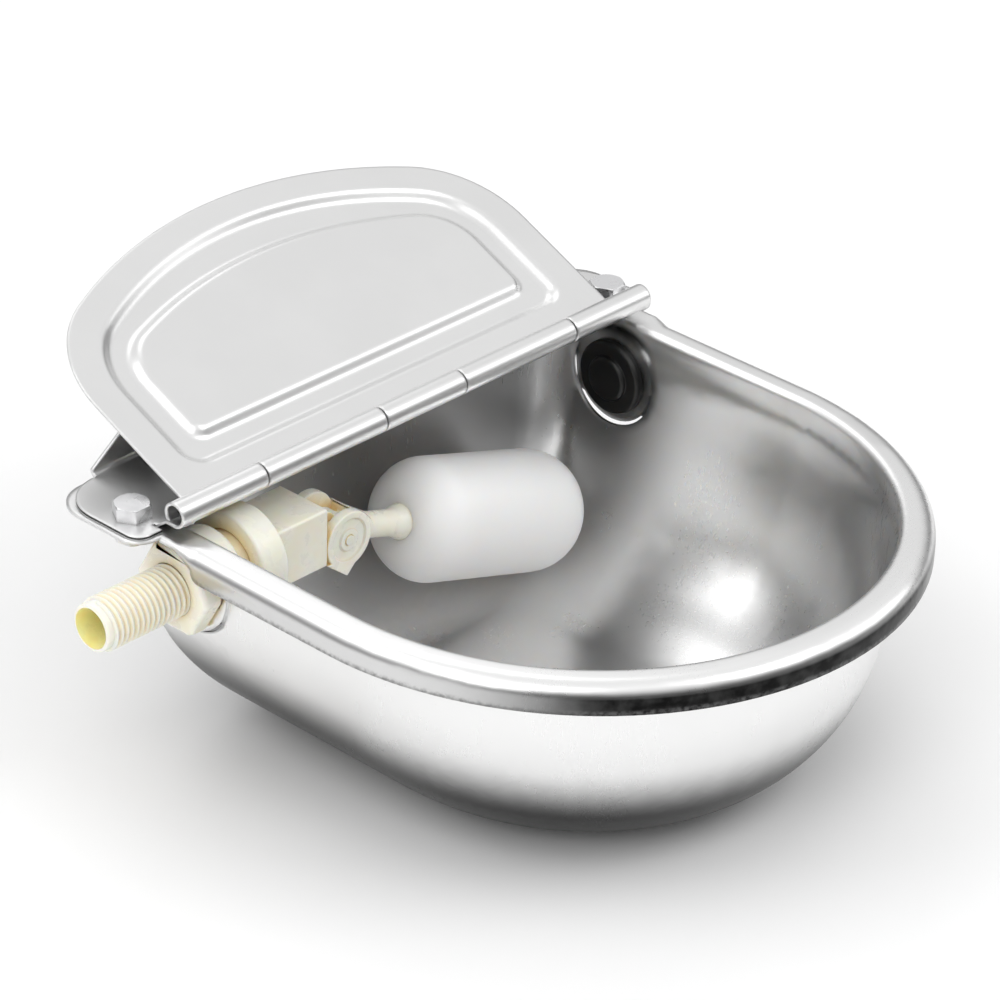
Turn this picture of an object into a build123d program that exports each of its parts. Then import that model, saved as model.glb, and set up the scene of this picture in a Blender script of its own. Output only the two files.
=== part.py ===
from build123d import *
import os
from math import atan, cos, pi, radians, sin, sqrt, tan

# Livestock drinking bowl. Millimetres, +Z up. X runs along the hinge, with the water inlet on
# the -X side. Y runs towards the wall. The origin is the centre of the flat base.

# ---- sheet metal bowl
BOWL_SHEET = 1.0
RIM_TOP_Z = 99.0
BODY_HALF_WIDTH = 118.0
FRONT_CENTRE_Y = -8.7
BODY_BACK_Y = 114.5
BODY_BACK_RADIUS = 20.0
WALL_DRAFT = 6.0
BOTTOM_RADIUS = 67.0
FRONT_SHIFT_SHARE = 0.1
BACK_SLOPE_SHARE = 0.68
WALL_ARC_LEVELS = 7
WALL_TOP_DROP = 8.0

# ---- rolled rim with its skirt, and the flat flange behind
RIM_WIDTH = 13.5
RIM_BEND_RADIUS = 2.5
RIM_ROLL_RADIUS = 6.5
SKIRT_DROP = 4.9
SKIRT_CORNER_RADIUS = 4.0
SKIRT_TO_HINGE = 13.0
FLANGE_LIP_RADIUS = 1.5
FLANGE_LIP_DROP = 0.4
FLANGE_BLEND_LENGTH = 8.0
EAR_PROUD = 10.5
EAR_TO_HINGE = 3.0
EAR_SETBACK = 2.0
EAR_FRONT_RADIUS = 9.0
EAR_BACK_RADIUS = 16.0

# ---- ports in the side walls
PORT_BEHIND_HINGE = 3.0
PORT_BELOW_RIM = 24.0
PORT_FLAT_DEPTH = 2.0
PORT_FLAT_RADIUS = 19.5
PORT_CLEARANCE = 0.3
CUT_MARGIN = 1.0

# ---- hinge
HINGE_Y = 74.0
HINGE_ABOVE_RIM = 8.5
HINGE_PROUD = 8.0
PIN_RADIUS = 3.8
PIN_RECESS = 5.0
END_KNUCKLE_LENGTH = 42.5
CENTRE_KNUCKLE_LENGTH = 42.0
KNUCKLE_GAP = 0.8
RUNNING_CLEARANCE = 0.05
CURL_SLOT = 0.7

# ---- hinge bracket
BRACKET_SHEET = 1.3
BRACKET_INSET = 2.0
BRACKET_WALL_GAP = 0.5
BRACKET_EAR_LENGTH = 12.0
BRACKET_EAR_TO_HINGE = 5.0
BRACKET_WEB_TO_HINGE = 10.0
BRACKET_FRONT_RADIUS = 6.0
BRACKET_BACK_RADIUS = 20.0
BRACKET_BEND_RADIUS = 3.0
TONGUE_FLAT = 4.5
TONGUE_RAMP = 4.5
WALL_PLATE_RISE = 22.3
WALL_PLATE_TAPER = 26.0
WALL_PLATE_CORNER_RADIUS = 5.0
WALL_HOLE_SPACING = 120.0
WALL_HOLE_RADIUS = 4.5
WALL_HOLE_DROP = 10.3

# ---- bolts, washers and nuts
BOLT_OUTSIDE_WALL = 10.0
BOLT_BEHIND_HINGE = 20.0
BOLT_RADIUS = 4.0
BOLT_HOLE_CLEARANCE = 0.5
BOLT_HEAD_FLATS = 13.0
BOLT_HEAD_HEIGHT = 5.5
BOLT_TAIL = 1.9
HEAD_CHAMFER_DEGREES = 30.0
NUT_HEIGHT = 5.0
WASHER_RADIUS = 7.6
WASHER_THICKNESS = 1.6

# ---- lid
LID_SHEET = 1.2
LID_OPEN_DEGREES = 24.0
LID_INSIDE_RIM = 3.5
LID_SIDE_LENGTH = 57.0
LID_RISE = 62.5
LID_CORNER_RADIUS = 47.0
LID_HINGE_EDGE = 6.5
LID_HINGE_CORNER_RADIUS = 2.0
GROOVE_DEPTH = 3.0
GROOVE_BORDER = 14.0
GROOVE_WIDTH = 14.3
GROOVE_SLOPE_WIDTH = 3.5
GROOVE_RISE = 51.0
GROOVE_CORNER_RADIUS = 35.0
GROOVE_HINGE_EDGE = 16.0
GROOVE_HINGE_RADIUS = 10.0
PANEL_RISE = 32.6
PANEL_CORNER_RADIUS = 21.0
PANEL_HINGE_RADIUS = 4.0

# ---- water inlet spigot and its nut
THREAD_RADIUS = 10.4775
INLET_REACH = 48.0
INLET_BORE_RADIUS = 6.6
INLET_MOUTH_RADIUS = 8.0
INLET_MOUTH_DEPTH = 6.0
INLET_END_CHAMFER = 1.2
THREAD_RELIEF_LENGTH = 1.5
THREAD_RELIEF_DEPTH = 0.9
OUTER_NUT_LENGTH = 9.0
OUTER_NUT_FLATS = 33.0
NUT_CORNER_TRIM = 0.65
GASKET_THICKNESS = 2.0
SPIGOT_FLANGE_RADIUS = 18.4
SPIGOT_FLANGE_LENGTH = 10.0
SPIGOT_FLANGE_ROUND = 3.0
SPIGOT_NECK_RADIUS = 13.0
SPIGOT_COLLAR_RADIUS = 15.5
SPIGOT_COLLAR_LENGTH = 3.0

# ---- union ring and valve block
UNION_WALL = 3.7
UNION_GAP = 6.0
UNION_LIP = 3.0
UNION_LENGTH = 12.5
UNION_EDGE = 1.2
SOCKET_CLEARANCE = 1.0
BLOCK_LENGTH = 26.5
BLOCK_DEPTH = 25.6
BLOCK_HEIGHT = 24.4
BLOCK_EDGE = 1.0
CHAMBER_RADIUS = 8.9
GUIDE_LENGTH = 14.0
OUTLET_LENGTH = 9.0
OUTLET_WIDTH = 12.0

# ---- seat nozzle, its seal, and the plunger
NOZZLE_FLANGE_LENGTH = 7.0
NOZZLE_TIP_LENGTH = 3.0
NOZZLE_TIP_RADIUS = 4.2
ORIFICE_RADIUS = 2.5
NOZZLE_SEAL_RADIUS = 10.0
NOZZLE_SEAL_THICKNESS = 1.0
PLUNGER_RADIUS = 4.0
PLUNGER_HEAD_RADIUS = 5.6
PLUNGER_HEAD_LENGTH = 2.2
SEAL_RADIUS = 4.8
SEAL_THICKNESS = 2.0
PLUNGER_TRAVEL = 1.8
CLOSED_GAP = 0.1

# ---- float lever
PIVOT_REACH = 12.5
PIVOT_DROP = 6.0
PIVOT_PIN_RADIUS = 2.0
PIVOT_PIN_PROUD = 0.4
TONGUE_GAP = 8.6
TONGUE_THICKNESS = 3.5
CHEEK_CLEARANCE = 0.3
CHEEK_THICKNESS = 4.2
CHEEK_RADIUS = 11.5
CHEEK_RIM_WIDTH = 2.9
CHEEK_RECESS = 0.8
CHEEK_BOSS_RADIUS = 4.6
HUB_RADIUS = 7.2
NOSE_RADIUS = 4.0
NOSE_BACK = 4.0
NOSE_CLEARANCE = 0.3
ARM_DEGREES = -18.0
WEB_CLEARANCE = 2.4
WEB_HEIGHT = 17.0
WEB_LENGTH = 12.4
NECK_LENGTH = 14.0
NECK_RADIUS = 5.2
NECK_FLARE_RADIUS = 7.3
NECK_FLARE_LENGTH = 6.0
LUG_LEFT = 11.3
LUG_ROOT_DROP = 7.0
LUG_TIP_DROP = 15.2
LUG_TIP_OFFSET = 0.8

# ---- float
FLOAT_RADIUS = 24.5
FLOAT_LENGTH = 96.0
FLOAT_NEAR_ROUND = 15.0
FLOAT_FAR_ROUND = 21.5
FLOAT_WALL = 1.6
FLOAT_STUB_RADIUS = 4.0
FLOAT_STUB_LENGTH = 8.0
FLOAT_BOSS_WALL = 4.5
FLOAT_BOSS_END = 3.2

# ---- rubber plug of the unused port
PLUG_CAP_RADIUS = 15.6
PLUG_CAP_THICKNESS = 3.6
PLUG_CAP_ROUND = 1.6
PLUG_BUTTON_RADIUS = 9.5
PLUG_BUTTON_HEIGHT = 2.0
PLUG_FLANGE_RADIUS = 14.0
PLUG_FLANGE_THICKNESS = 2.6

# ---- places that follow from the sizes above
WALL_TOP_Z = RIM_TOP_Z - WALL_TOP_DROP
FLANGE_UNDER_Z = RIM_TOP_Z - BOWL_SHEET
SKIRT_END_Y = HINGE_Y - SKIRT_TO_HINGE
FLANGE_Y = SKIRT_END_Y + FLANGE_BLEND_LENGTH
FLANGE_BACK_Y = BODY_BACK_Y - BOWL_SHEET + RIM_WIDTH
EAR_HALF_SPAN = BODY_HALF_WIDTH - BOWL_SHEET + RIM_WIDTH + EAR_PROUD
EAR_FRONT_Y = HINGE_Y + EAR_TO_HINGE
EAR_BACK_Y = FLANGE_BACK_Y - EAR_SETBACK
PORT_Y = HINGE_Y + PORT_BEHIND_HINGE
PORT_Z = RIM_TOP_Z - PORT_BELOW_RIM
PORT_RADIUS = THREAD_RADIUS + PORT_CLEARANCE
PORT_FACE_X = BODY_HALF_WIDTH - PORT_FLAT_DEPTH
PORT_INNER_X = PORT_FACE_X - BOWL_SHEET
HINGE_Z = RIM_TOP_Z + HINGE_ABOVE_RIM
HINGE_HALF_LENGTH = BODY_HALF_WIDTH + HINGE_PROUD
LID_BORE_RADIUS = PIN_RADIUS + RUNNING_CLEARANCE
BRACKET_TOP_Z = RIM_TOP_Z + BRACKET_SHEET
BRACKET_HALF_SPAN = EAR_HALF_SPAN - BRACKET_INSET
BRACKET_BACK_Y = FLANGE_BACK_Y + BRACKET_WALL_GAP
BRACKET_FRONT_Y = HINGE_Y + BRACKET_EAR_TO_HINGE
BRACKET_WEB_FRONT_Y = HINGE_Y + BRACKET_WEB_TO_HINGE
WALL_PLATE_TOP_Z = RIM_TOP_Z + WALL_PLATE_RISE
WALL_PLATE_FOOT_HALF = BODY_HALF_WIDTH
WALL_PLATE_TOP_HALF = WALL_PLATE_FOOT_HALF - WALL_PLATE_TAPER
WALL_HOLE_Z = WALL_PLATE_TOP_Z - WALL_HOLE_DROP
BOLT_X = BODY_HALF_WIDTH + BOLT_OUTSIDE_WALL
BOLT_Y = HINGE_Y + BOLT_BEHIND_HINGE
BOLT_HOLE_RADIUS = BOLT_RADIUS + BOLT_HOLE_CLEARANCE
NUT_TOP_Z = FLANGE_UNDER_Z - WASHER_THICKNESS
LID_HALF_WIDTH = BODY_HALF_WIDTH - LID_INSIDE_RIM
GROOVE_HALF_WIDTH = LID_HALF_WIDTH - GROOVE_BORDER
OUTER_NUT_CORNER_RADIUS = OUTER_NUT_FLATS / sqrt(3) - NUT_CORNER_TRIM
INLET_END_X = -PORT_FACE_X - INLET_REACH
OUTER_NUT_X = -PORT_FACE_X - OUTER_NUT_LENGTH
SPIGOT_FLANGE_X = -PORT_INNER_X + GASKET_THICKNESS
SPIGOT_NECK_X = SPIGOT_FLANGE_X + SPIGOT_FLANGE_LENGTH
UNION_X = SPIGOT_NECK_X + UNION_GAP
COLLAR_X = UNION_X + UNION_LIP
SOCKET_X = COLLAR_X + SPIGOT_COLLAR_LENGTH
SOCKET_RADIUS = SPIGOT_COLLAR_RADIUS + SOCKET_CLEARANCE
UNION_RADIUS = SOCKET_RADIUS + UNION_WALL
BLOCK_X = UNION_X + UNION_LENGTH
BLOCK_END_X = BLOCK_X + BLOCK_LENGTH
CHAMBER_END_X = BLOCK_END_X - GUIDE_LENGTH
NOZZLE_TIP_X = SOCKET_X + NOZZLE_FLANGE_LENGTH + NOZZLE_TIP_LENGTH
SEAL_X = NOZZLE_TIP_X + PLUNGER_TRAVEL + CLOSED_GAP
PLUNGER_HEAD_X = SEAL_X + SEAL_THICKNESS
PIVOT_X = BLOCK_END_X + PIVOT_REACH
PIVOT_Z = PORT_Z - PIVOT_DROP
PLUNGER_END_X = PIVOT_X - NOSE_BACK - NOSE_RADIUS - NOSE_CLEARANCE
GUIDE_RADIUS = PLUNGER_RADIUS + RUNNING_CLEARANCE
LEVER_BORE_RADIUS = PIVOT_PIN_RADIUS + RUNNING_CLEARANCE
TONGUE_END_RADIUS = BLOCK_HEIGHT / 2 - PIVOT_DROP
TONGUE_OUTER = TONGUE_GAP / 2 + TONGUE_THICKNESS
HUB_HALF = TONGUE_GAP / 2 - CHEEK_CLEARANCE
CHEEK_INNER = TONGUE_OUTER + CHEEK_CLEARANCE
CHEEK_OUTER = CHEEK_INNER + CHEEK_THICKNESS
CHEEK_RIM_RADIUS = CHEEK_RADIUS - CHEEK_RIM_WIDTH
WEB_START = TONGUE_END_RADIUS + WEB_CLEARANCE
NECK_START = WEB_START + WEB_LENGTH
FLARE_START = NECK_START + NECK_LENGTH
FLOAT_START = FLARE_START + NECK_FLARE_LENGTH
FLOAT_BOSS_RADIUS = FLOAT_STUB_RADIUS + FLOAT_BOSS_WALL
FLOAT_BOSS_LENGTH = FLOAT_STUB_LENGTH + FLOAT_BOSS_END
SIDES = (-1, 1)


def rounded_face(corners):
    """A flat face from (x, y, corner radius) triples."""
    face = make_face(Polyline(*[(x, y) for x, y, _ in corners], close=True))
    for x, y, radius in corners:
        if radius:
            face = fillet(face.vertices().sort_by_distance((x, y))[0], radius)
    return face


def turned(corners):
    """A solid of revolution on the ports' axis, from (x, radius, corner radius) triples."""
    plane = Plane(origin=(0, PORT_Y, PORT_Z), x_dir=(1, 0, 0), z_dir=(0, -1, 0))
    return revolve(plane * rounded_face(corners), Axis((0, PORT_Y, PORT_Z), (1, 0, 0)))


def ring(inner, outer, x_from, x_to):
    """A plain ring on the ports' axis, in front of x_from and behind x_to."""
    return turned([(x_from, inner, 0), (x_to, inner, 0), (x_to, outer, 0), (x_from, outer, 0)])


def cross_disc(radius, x, z, y_from, y_to):
    """A disc whose axis lies along Y, placed from the ports' axis in Y."""
    plane = Plane(origin=(x, PORT_Y + y_to, z), z_dir=(0, -1, 0))
    return extrude(plane * Circle(radius), y_to - y_from)


def box_between(low, high):
    """A box from its two corners."""
    size = [high[i] - low[i] for i in range(3)]
    return Pos(*low) * Box(*size, align=(Align.MIN, Align.MIN, Align.MIN))


# ---- the sheet metal bowl
def back_edges(half, side_y, back_y, back_r):
    """The left side, the back with its two corners, and the right side."""
    middle = Vector(half - back_r, back_y - back_r) + Vector(1, 1).normalized() * back_r
    return [
        Line((-half, side_y), (-half, back_y - back_r)),
        ThreePointArc((-half, back_y - back_r), (-middle.X, middle.Y), (-half + back_r, back_y)),
        Line((-half + back_r, back_y), (half - back_r, back_y)),
        ThreePointArc((half - back_r, back_y), (middle.X, middle.Y), (half, back_y - back_r)),
        Line((half, back_y - back_r), (half, side_y)),
    ]


def bowl_edges(slope, inset):
    """The bowl's plan where its side walls have come in by slope, a half circle in front."""
    half = BODY_HALF_WIDTH - slope - inset
    side_y = FRONT_CENTRE_Y - FRONT_SHIFT_SHARE * slope
    back_y = BODY_BACK_Y - BACK_SLOPE_SHARE * slope - inset
    front = ThreePointArc((half, side_y), (0, side_y - half), (-half, side_y))
    return [front, *back_edges(half, side_y, back_y, BODY_BACK_RADIUS - inset)]


def bowl_levels(inset):
    """(slope, inset, z) from the rim down: a drafted wall, then the large bottom radius."""
    draft = radians(WALL_DRAFT)
    bend_z = BOTTOM_RADIUS * (1 - sin(draft))
    bend_slope = (WALL_TOP_Z - bend_z) * tan(draft)
    centre_slope = bend_slope + BOTTOM_RADIUS * cos(draft)
    levels = [(0.0, inset, WALL_TOP_Z)]
    for step in range(WALL_ARC_LEVELS):
        angle = draft + (pi / 2 - draft) * step / (WALL_ARC_LEVELS - 1)
        slope = centre_slope - BOTTOM_RADIUS * cos(angle)
        z = BOTTOM_RADIUS * (1 - sin(angle)) + inset * sin(angle)
        levels.append((slope, inset * cos(angle), z))
    return levels


def bowl_body(inset):
    """The solid that the bowl's wall encloses, with a flat face round each port."""
    sections = []
    for slope, level_inset, z in bowl_levels(inset):
        sections.append(Pos(0, 0, z) * make_face(bowl_edges(slope, level_inset)))
    body = loft(sections)
    face_x = PORT_FACE_X - inset
    radius = PORT_FLAT_RADIUS + inset
    for side in SIDES:
        inner_x = side * (face_x - RIM_WIDTH)
        body -= port_disc(radius, side * face_x, side * (face_x + RIM_WIDTH))
        body += port_disc(radius, inner_x, side * face_x)
    return body


def port_disc(radius, x_from, x_to):
    """A disc on the ports' axis between two X positions."""
    low, high = sorted((x_from, x_to))
    return extrude(Plane(origin=(low, PORT_Y, PORT_Z), z_dir=(1, 0, 0)) * Circle(radius), high - low)


def lip_face(roll, drop):
    """Section of the sheet over the rim, from the wall's inner face outwards and its top down."""
    sheet = BOWL_SHEET
    bend = RIM_BEND_RADIUS
    flat_end = RIM_WIDTH - roll

    def bend_middle(centre_u, radius, side, arc_radius):
        reach = arc_radius * sqrt(1 / 2)
        return (centre_u + side * reach, -radius + reach)

    return make_face(
        [
            Line((0, -WALL_TOP_DROP), (0, -bend)),
            ThreePointArc((0, -bend), bend_middle(bend, bend, -1, bend), (bend, 0)),
            Line((bend, 0), (flat_end, 0)),
            ThreePointArc((flat_end, 0), bend_middle(flat_end, roll, 1, roll), (RIM_WIDTH, -roll)),
            Line((RIM_WIDTH, -roll), (RIM_WIDTH, -roll - drop)),
            Line((RIM_WIDTH, -roll - drop), (RIM_WIDTH - sheet, -roll - drop)),
            Line((RIM_WIDTH - sheet, -roll - drop), (RIM_WIDTH - sheet, -roll)),
            ThreePointArc(
                (RIM_WIDTH - sheet, -roll),
                bend_middle(flat_end, roll, 1, roll - sheet),
                (flat_end, -sheet),
            ),
            Line((flat_end, -sheet), (bend, -sheet)),
            ThreePointArc((bend, -sheet), bend_middle(bend, bend, -1, bend - sheet), (sheet, -bend)),
            Line((sheet, -bend), (sheet, -WALL_TOP_DROP)),
            Line((sheet, -WALL_TOP_DROP), (0, -WALL_TOP_DROP)),
        ]
    )


def lip_section(side, y, roll, drop):
    """The lip's section across one side wall, at one Y."""
    wall_x = side * (BODY_HALF_WIDTH - BOWL_SHEET)
    plane = Plane(origin=(wall_x, y, RIM_TOP_Z), x_dir=(side, 0, 0), z_dir=(0, -side, 0))
    return plane * lip_face(roll, drop)


def skirt_end(side):
    """What the skirt's rounded rear corner leaves out, at one side of the bowl."""
    low_z = RIM_TOP_Z - RIM_ROLL_RADIUS - SKIRT_DROP
    start = (side * (BODY_HALF_WIDTH + BOWL_SHEET), 0, 0)
    plane = Plane(origin=start, x_dir=(0, 1, 0), z_dir=(1, 0, 0))
    radius = SKIRT_CORNER_RADIUS
    corner = Pos(SKIRT_END_Y - radius / 2, low_z + radius / 2) * Rectangle(radius, radius)
    corner -= Pos(SKIRT_END_Y - radius, low_z + radius) * Circle(radius)
    return extrude(plane * corner, side * RIM_WIDTH)


def make_rim():
    """Rolled rim with a skirt round the front, blending into a flat flange behind."""
    half = BODY_HALF_WIDTH - BOWL_SHEET
    front_path = Wire(
        [
            Line((half, SKIRT_END_Y), (half, FRONT_CENTRE_Y)),
            ThreePointArc(
                (half, FRONT_CENTRE_Y), (0, FRONT_CENTRE_Y - half), (-half, FRONT_CENTRE_Y)
            ),
            Line((-half, FRONT_CENTRE_Y), (-half, SKIRT_END_Y)),
        ]
    )
    inner_back = BODY_BACK_Y - BOWL_SHEET
    back_path = Wire(back_edges(half, FLANGE_Y, inner_back, BODY_BACK_RADIUS - BOWL_SHEET))
    flange = (FLANGE_LIP_RADIUS, FLANGE_LIP_DROP)
    rolled = lip_section(1, SKIRT_END_Y, RIM_ROLL_RADIUS, SKIRT_DROP)
    rim = sweep(rolled, path=Pos(0, 0, RIM_TOP_Z) * front_path)
    rim += sweep(lip_section(-1, FLANGE_Y, *flange), path=Pos(0, 0, RIM_TOP_Z) * back_path)
    for side in SIDES:
        blend_start = lip_section(side, SKIRT_END_Y, RIM_ROLL_RADIUS, FLANGE_LIP_DROP)
        rim += loft([blend_start, lip_section(side, FLANGE_Y, *flange)])
        rim -= skirt_end(side)
    return rim


def make_ears():
    """The flange's two flat ears, which the hinge bracket is bolted to."""
    corners = [
        (EAR_HALF_SPAN, EAR_FRONT_Y, EAR_FRONT_RADIUS),
        (EAR_HALF_SPAN, EAR_BACK_Y, EAR_BACK_RADIUS),
        (-EAR_HALF_SPAN, EAR_BACK_Y, EAR_BACK_RADIUS),
        (-EAR_HALF_SPAN, EAR_FRONT_Y, EAR_FRONT_RADIUS),
    ]
    plate = extrude(Pos(0, 0, FLANGE_UNDER_Z) * rounded_face(corners), BOWL_SHEET)
    inside = make_face(bowl_edges(0, BOWL_SHEET - RIM_BEND_RADIUS))
    return plate - extrude(Pos(0, 0, FLANGE_UNDER_Z) * inside, BOWL_SHEET)


def ear_pocket(side):
    """The space under an ear that the flange's lip is left out of."""
    inner = BODY_HALF_WIDTH - BOWL_SHEET + RIM_BEND_RADIUS
    xs = sorted((side * inner, side * EAR_HALF_SPAN))
    low = (xs[0], EAR_FRONT_Y, WALL_TOP_Z)
    return box_between(low, (xs[1], EAR_BACK_Y - EAR_BACK_RADIUS, FLANGE_UNDER_Z))


def bolt_holes(z_from, z_to):
    """The two holes that the bracket's bolts pass through."""
    hole = extrude(Pos(0, 0, z_from) * Circle(BOLT_HOLE_RADIUS), z_to - z_from)
    return [Pos(side * BOLT_X, BOLT_Y, 0) * hole for side in SIDES]


def upper_pad(side):
    """The part of a port's flat pad that reaches into the wall above the drafted body."""
    pad_r = PORT_FLAT_RADIUS + BOWL_SHEET
    pad = port_disc(pad_r, side * PORT_INNER_X, side * BODY_HALF_WIDTH)
    pad -= port_disc(PORT_FLAT_RADIUS, side * PORT_FACE_X, side * BODY_HALF_WIDTH)
    xs = sorted((side * PORT_INNER_X, side * BODY_HALF_WIDTH))
    low = (xs[0], PORT_Y - pad_r, WALL_TOP_Z)
    return pad & box_between(low, (xs[1], PORT_Y + pad_r, RIM_TOP_Z))


def make_bowl():
    """The drawn sheet bowl with its rim, flange, ears and two ports."""
    bowl = bowl_body(0.0) - bowl_body(BOWL_SHEET)
    bowl += make_rim()
    bowl += make_ears()
    for side in SIDES:
        bowl -= ear_pocket(side)
        bowl -= port_disc(PORT_FLAT_RADIUS, side * PORT_FACE_X, side * (PORT_FACE_X + RIM_WIDTH))
        bowl += upper_pad(side)
        hole_x = (side * (PORT_INNER_X - CUT_MARGIN), side * (PORT_FACE_X + CUT_MARGIN))
        bowl -= port_disc(PORT_RADIUS, *hole_x)
    for hole in bolt_holes(WALL_TOP_Z, RIM_TOP_Z + CUT_MARGIN):
        bowl -= hole
    return bowl


# ---- hinge bracket, lid and pin
def knuckle_spans():
    """X spans of the bracket's three knuckles and, between them, the lid's two."""
    end = HINGE_HALF_LENGTH - END_KNUCKLE_LENGTH
    centre = CENTRE_KNUCKLE_LENGTH / 2
    bracket = [(-HINGE_HALF_LENGTH, -end), (-centre, centre), (end, HINGE_HALF_LENGTH)]
    lid = [(-end + KNUCKLE_GAP, -centre - KNUCKLE_GAP), (centre + KNUCKLE_GAP, end - KNUCKLE_GAP)]
    return bracket, lid


def knuckle(span, bore, sheet, tongue):
    """A curl of sheet round the origin along X, whose tongue leaves its underside towards +Y."""
    outer = bore + sheet
    plane = Plane(origin=(span[0], 0, 0), x_dir=(0, 1, 0), z_dir=(1, 0, 0))
    length = span[1] - span[0]
    curl = extrude(plane * Circle(outer), length)
    curl -= box_between((span[0], 0, -bore), (span[1], outer, CURL_SLOT - bore))
    curl += extrude(plane * make_face(Polyline(*tongue, close=True)), length)
    return curl - extrude(plane * Circle(bore), length)


def bracket_knuckle(span):
    """A bracket knuckle, whose tongue ramps down to the bracket's plate."""
    flat_end = TONGUE_FLAT
    ramp_end = TONGUE_FLAT + TONGUE_RAMP
    top = -PIN_RADIUS
    under = top - BRACKET_SHEET
    plate_top = BRACKET_TOP_Z - HINGE_Z
    plate_under = RIM_TOP_Z - HINGE_Z
    plate_y = BRACKET_WEB_FRONT_Y + BRACKET_SHEET - HINGE_Y
    tongue = [
        (0, under),
        (flat_end, under),
        (ramp_end, plate_under),
        (plate_y, plate_under),
        (plate_y, plate_top),
        (ramp_end, plate_top),
        (flat_end, top),
        (0, top),
    ]
    return Pos(0, HINGE_Y, HINGE_Z) * knuckle(span, PIN_RADIUS, BRACKET_SHEET, tongue)


def make_bracket():
    """Bent plate on the bowl's flange: hinge knuckles in front, wall plate behind."""
    bend_y = BRACKET_BACK_Y - BRACKET_BEND_RADIUS
    bend_z = RIM_TOP_Z + BRACKET_BEND_RADIUS
    web_half = BRACKET_HALF_SPAN - BRACKET_EAR_LENGTH
    corners = [
        (-web_half, BRACKET_WEB_FRONT_Y, 0),
        (web_half, BRACKET_WEB_FRONT_Y, 0),
        (web_half, BRACKET_FRONT_Y, 0),
        (BRACKET_HALF_SPAN, BRACKET_FRONT_Y, BRACKET_FRONT_RADIUS),
        (BRACKET_HALF_SPAN, bend_y, BRACKET_BACK_RADIUS),
        (-BRACKET_HALF_SPAN, bend_y, BRACKET_BACK_RADIUS),
        (-BRACKET_HALF_SPAN, BRACKET_FRONT_Y, BRACKET_FRONT_RADIUS),
        (-web_half, BRACKET_FRONT_Y, 0),
    ]
    bracket = extrude(Pos(0, 0, RIM_TOP_Z) * rounded_face(corners), BRACKET_SHEET)
    bend_start = (-WALL_PLATE_FOOT_HALF, bend_y, bend_z)
    bend_plane = Plane(origin=bend_start, x_dir=(0, 1, 0), z_dir=(1, 0, 0))
    bend = Circle(BRACKET_BEND_RADIUS) - Circle(BRACKET_BEND_RADIUS - BRACKET_SHEET)
    bend &= Rectangle(BRACKET_BEND_RADIUS, BRACKET_BEND_RADIUS, align=(Align.MIN, Align.MAX))
    bracket += extrude(bend_plane * bend, 2 * WALL_PLATE_FOOT_HALF)
    wall_corners = [
        (-WALL_PLATE_FOOT_HALF, bend_z, 0),
        (WALL_PLATE_FOOT_HALF, bend_z, 0),
        (WALL_PLATE_TOP_HALF, WALL_PLATE_TOP_Z, WALL_PLATE_CORNER_RADIUS),
        (-WALL_PLATE_TOP_HALF, WALL_PLATE_TOP_Z, WALL_PLATE_CORNER_RADIUS),
    ]
    wall_face = rounded_face(wall_corners)
    for side in SIDES:
        wall_face -= Pos(side * WALL_HOLE_SPACING / 2, WALL_HOLE_Z) * Circle(WALL_HOLE_RADIUS)
    wall_plane = Plane(origin=(0, BRACKET_BACK_Y, 0), x_dir=(1, 0, 0), z_dir=(0, -1, 0))
    bracket += extrude(wall_plane * wall_face, BRACKET_SHEET)
    for span in knuckle_spans()[0]:
        bracket += bracket_knuckle(span)
    for hole in bolt_holes(RIM_TOP_Z - CUT_MARGIN, BRACKET_TOP_Z + CUT_MARGIN):
        bracket -= hole
    return bracket


def d_face(half, side_y, rise, corner, back_y, back_r):
    """A D outline: straight sides, a flatter three-arc front towards +Y, rounded hinge corners."""
    front_r = (half**2 + rise**2 - 2 * half * corner) / (2 * (rise - corner))
    front_centre = Vector(0, -side_y - rise + front_r)
    corner_centre = Vector(half - corner, -side_y)
    outward = (corner_centre - front_centre).normalized()
    meet = corner_centre + outward * corner
    middle = corner_centre + (outward + Vector(1, 0)).normalized() * corner
    edges = [
        ThreePointArc((half, -side_y), middle, meet),
        ThreePointArc(meet, (0, -side_y - rise), (-meet.X, meet.Y)),
        ThreePointArc((-meet.X, meet.Y), (-middle.X, middle.Y), (-half, -side_y)),
        *back_edges(half, -side_y, -back_y, back_r),
    ]
    return Rot(0, 0, 180) * make_face(edges)


def groove_edge(grow):
    """The lid groove's outer outline, grown outwards."""
    return d_face(
        GROOVE_HALF_WIDTH + grow,
        LID_SIDE_LENGTH,
        GROOVE_RISE + grow,
        GROOVE_CORNER_RADIUS + grow,
        GROOVE_HINGE_EDGE - grow,
        GROOVE_HINGE_RADIUS + grow,
    )


def panel_edge(grow):
    """The outline of the lid's inner panel, which the groove runs round, grown outwards."""
    return d_face(
        GROOVE_HALF_WIDTH - GROOVE_WIDTH + grow,
        LID_SIDE_LENGTH,
        PANEL_RISE + grow,
        PANEL_CORNER_RADIUS + grow,
        GROOVE_HINGE_EDGE + GROOVE_WIDTH - grow,
        PANEL_HINGE_RADIUS + grow,
    )


def groove_solid(top_z, thicken):
    """The ring between the groove's two sloping sides, thickened all round by thicken."""
    low_z = top_z - GROOVE_DEPTH
    slope = GROOVE_SLOPE_WIDTH
    outer = loft(
        [Pos(0, 0, low_z) * groove_edge(thicken - slope), Pos(0, 0, top_z) * groove_edge(thicken)],
        ruled=True,
    )
    panel = loft(
        [Pos(0, 0, low_z) * panel_edge(slope - thicken), Pos(0, 0, top_z) * panel_edge(-thicken)],
        ruled=True,
    )
    return outer - panel


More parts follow.
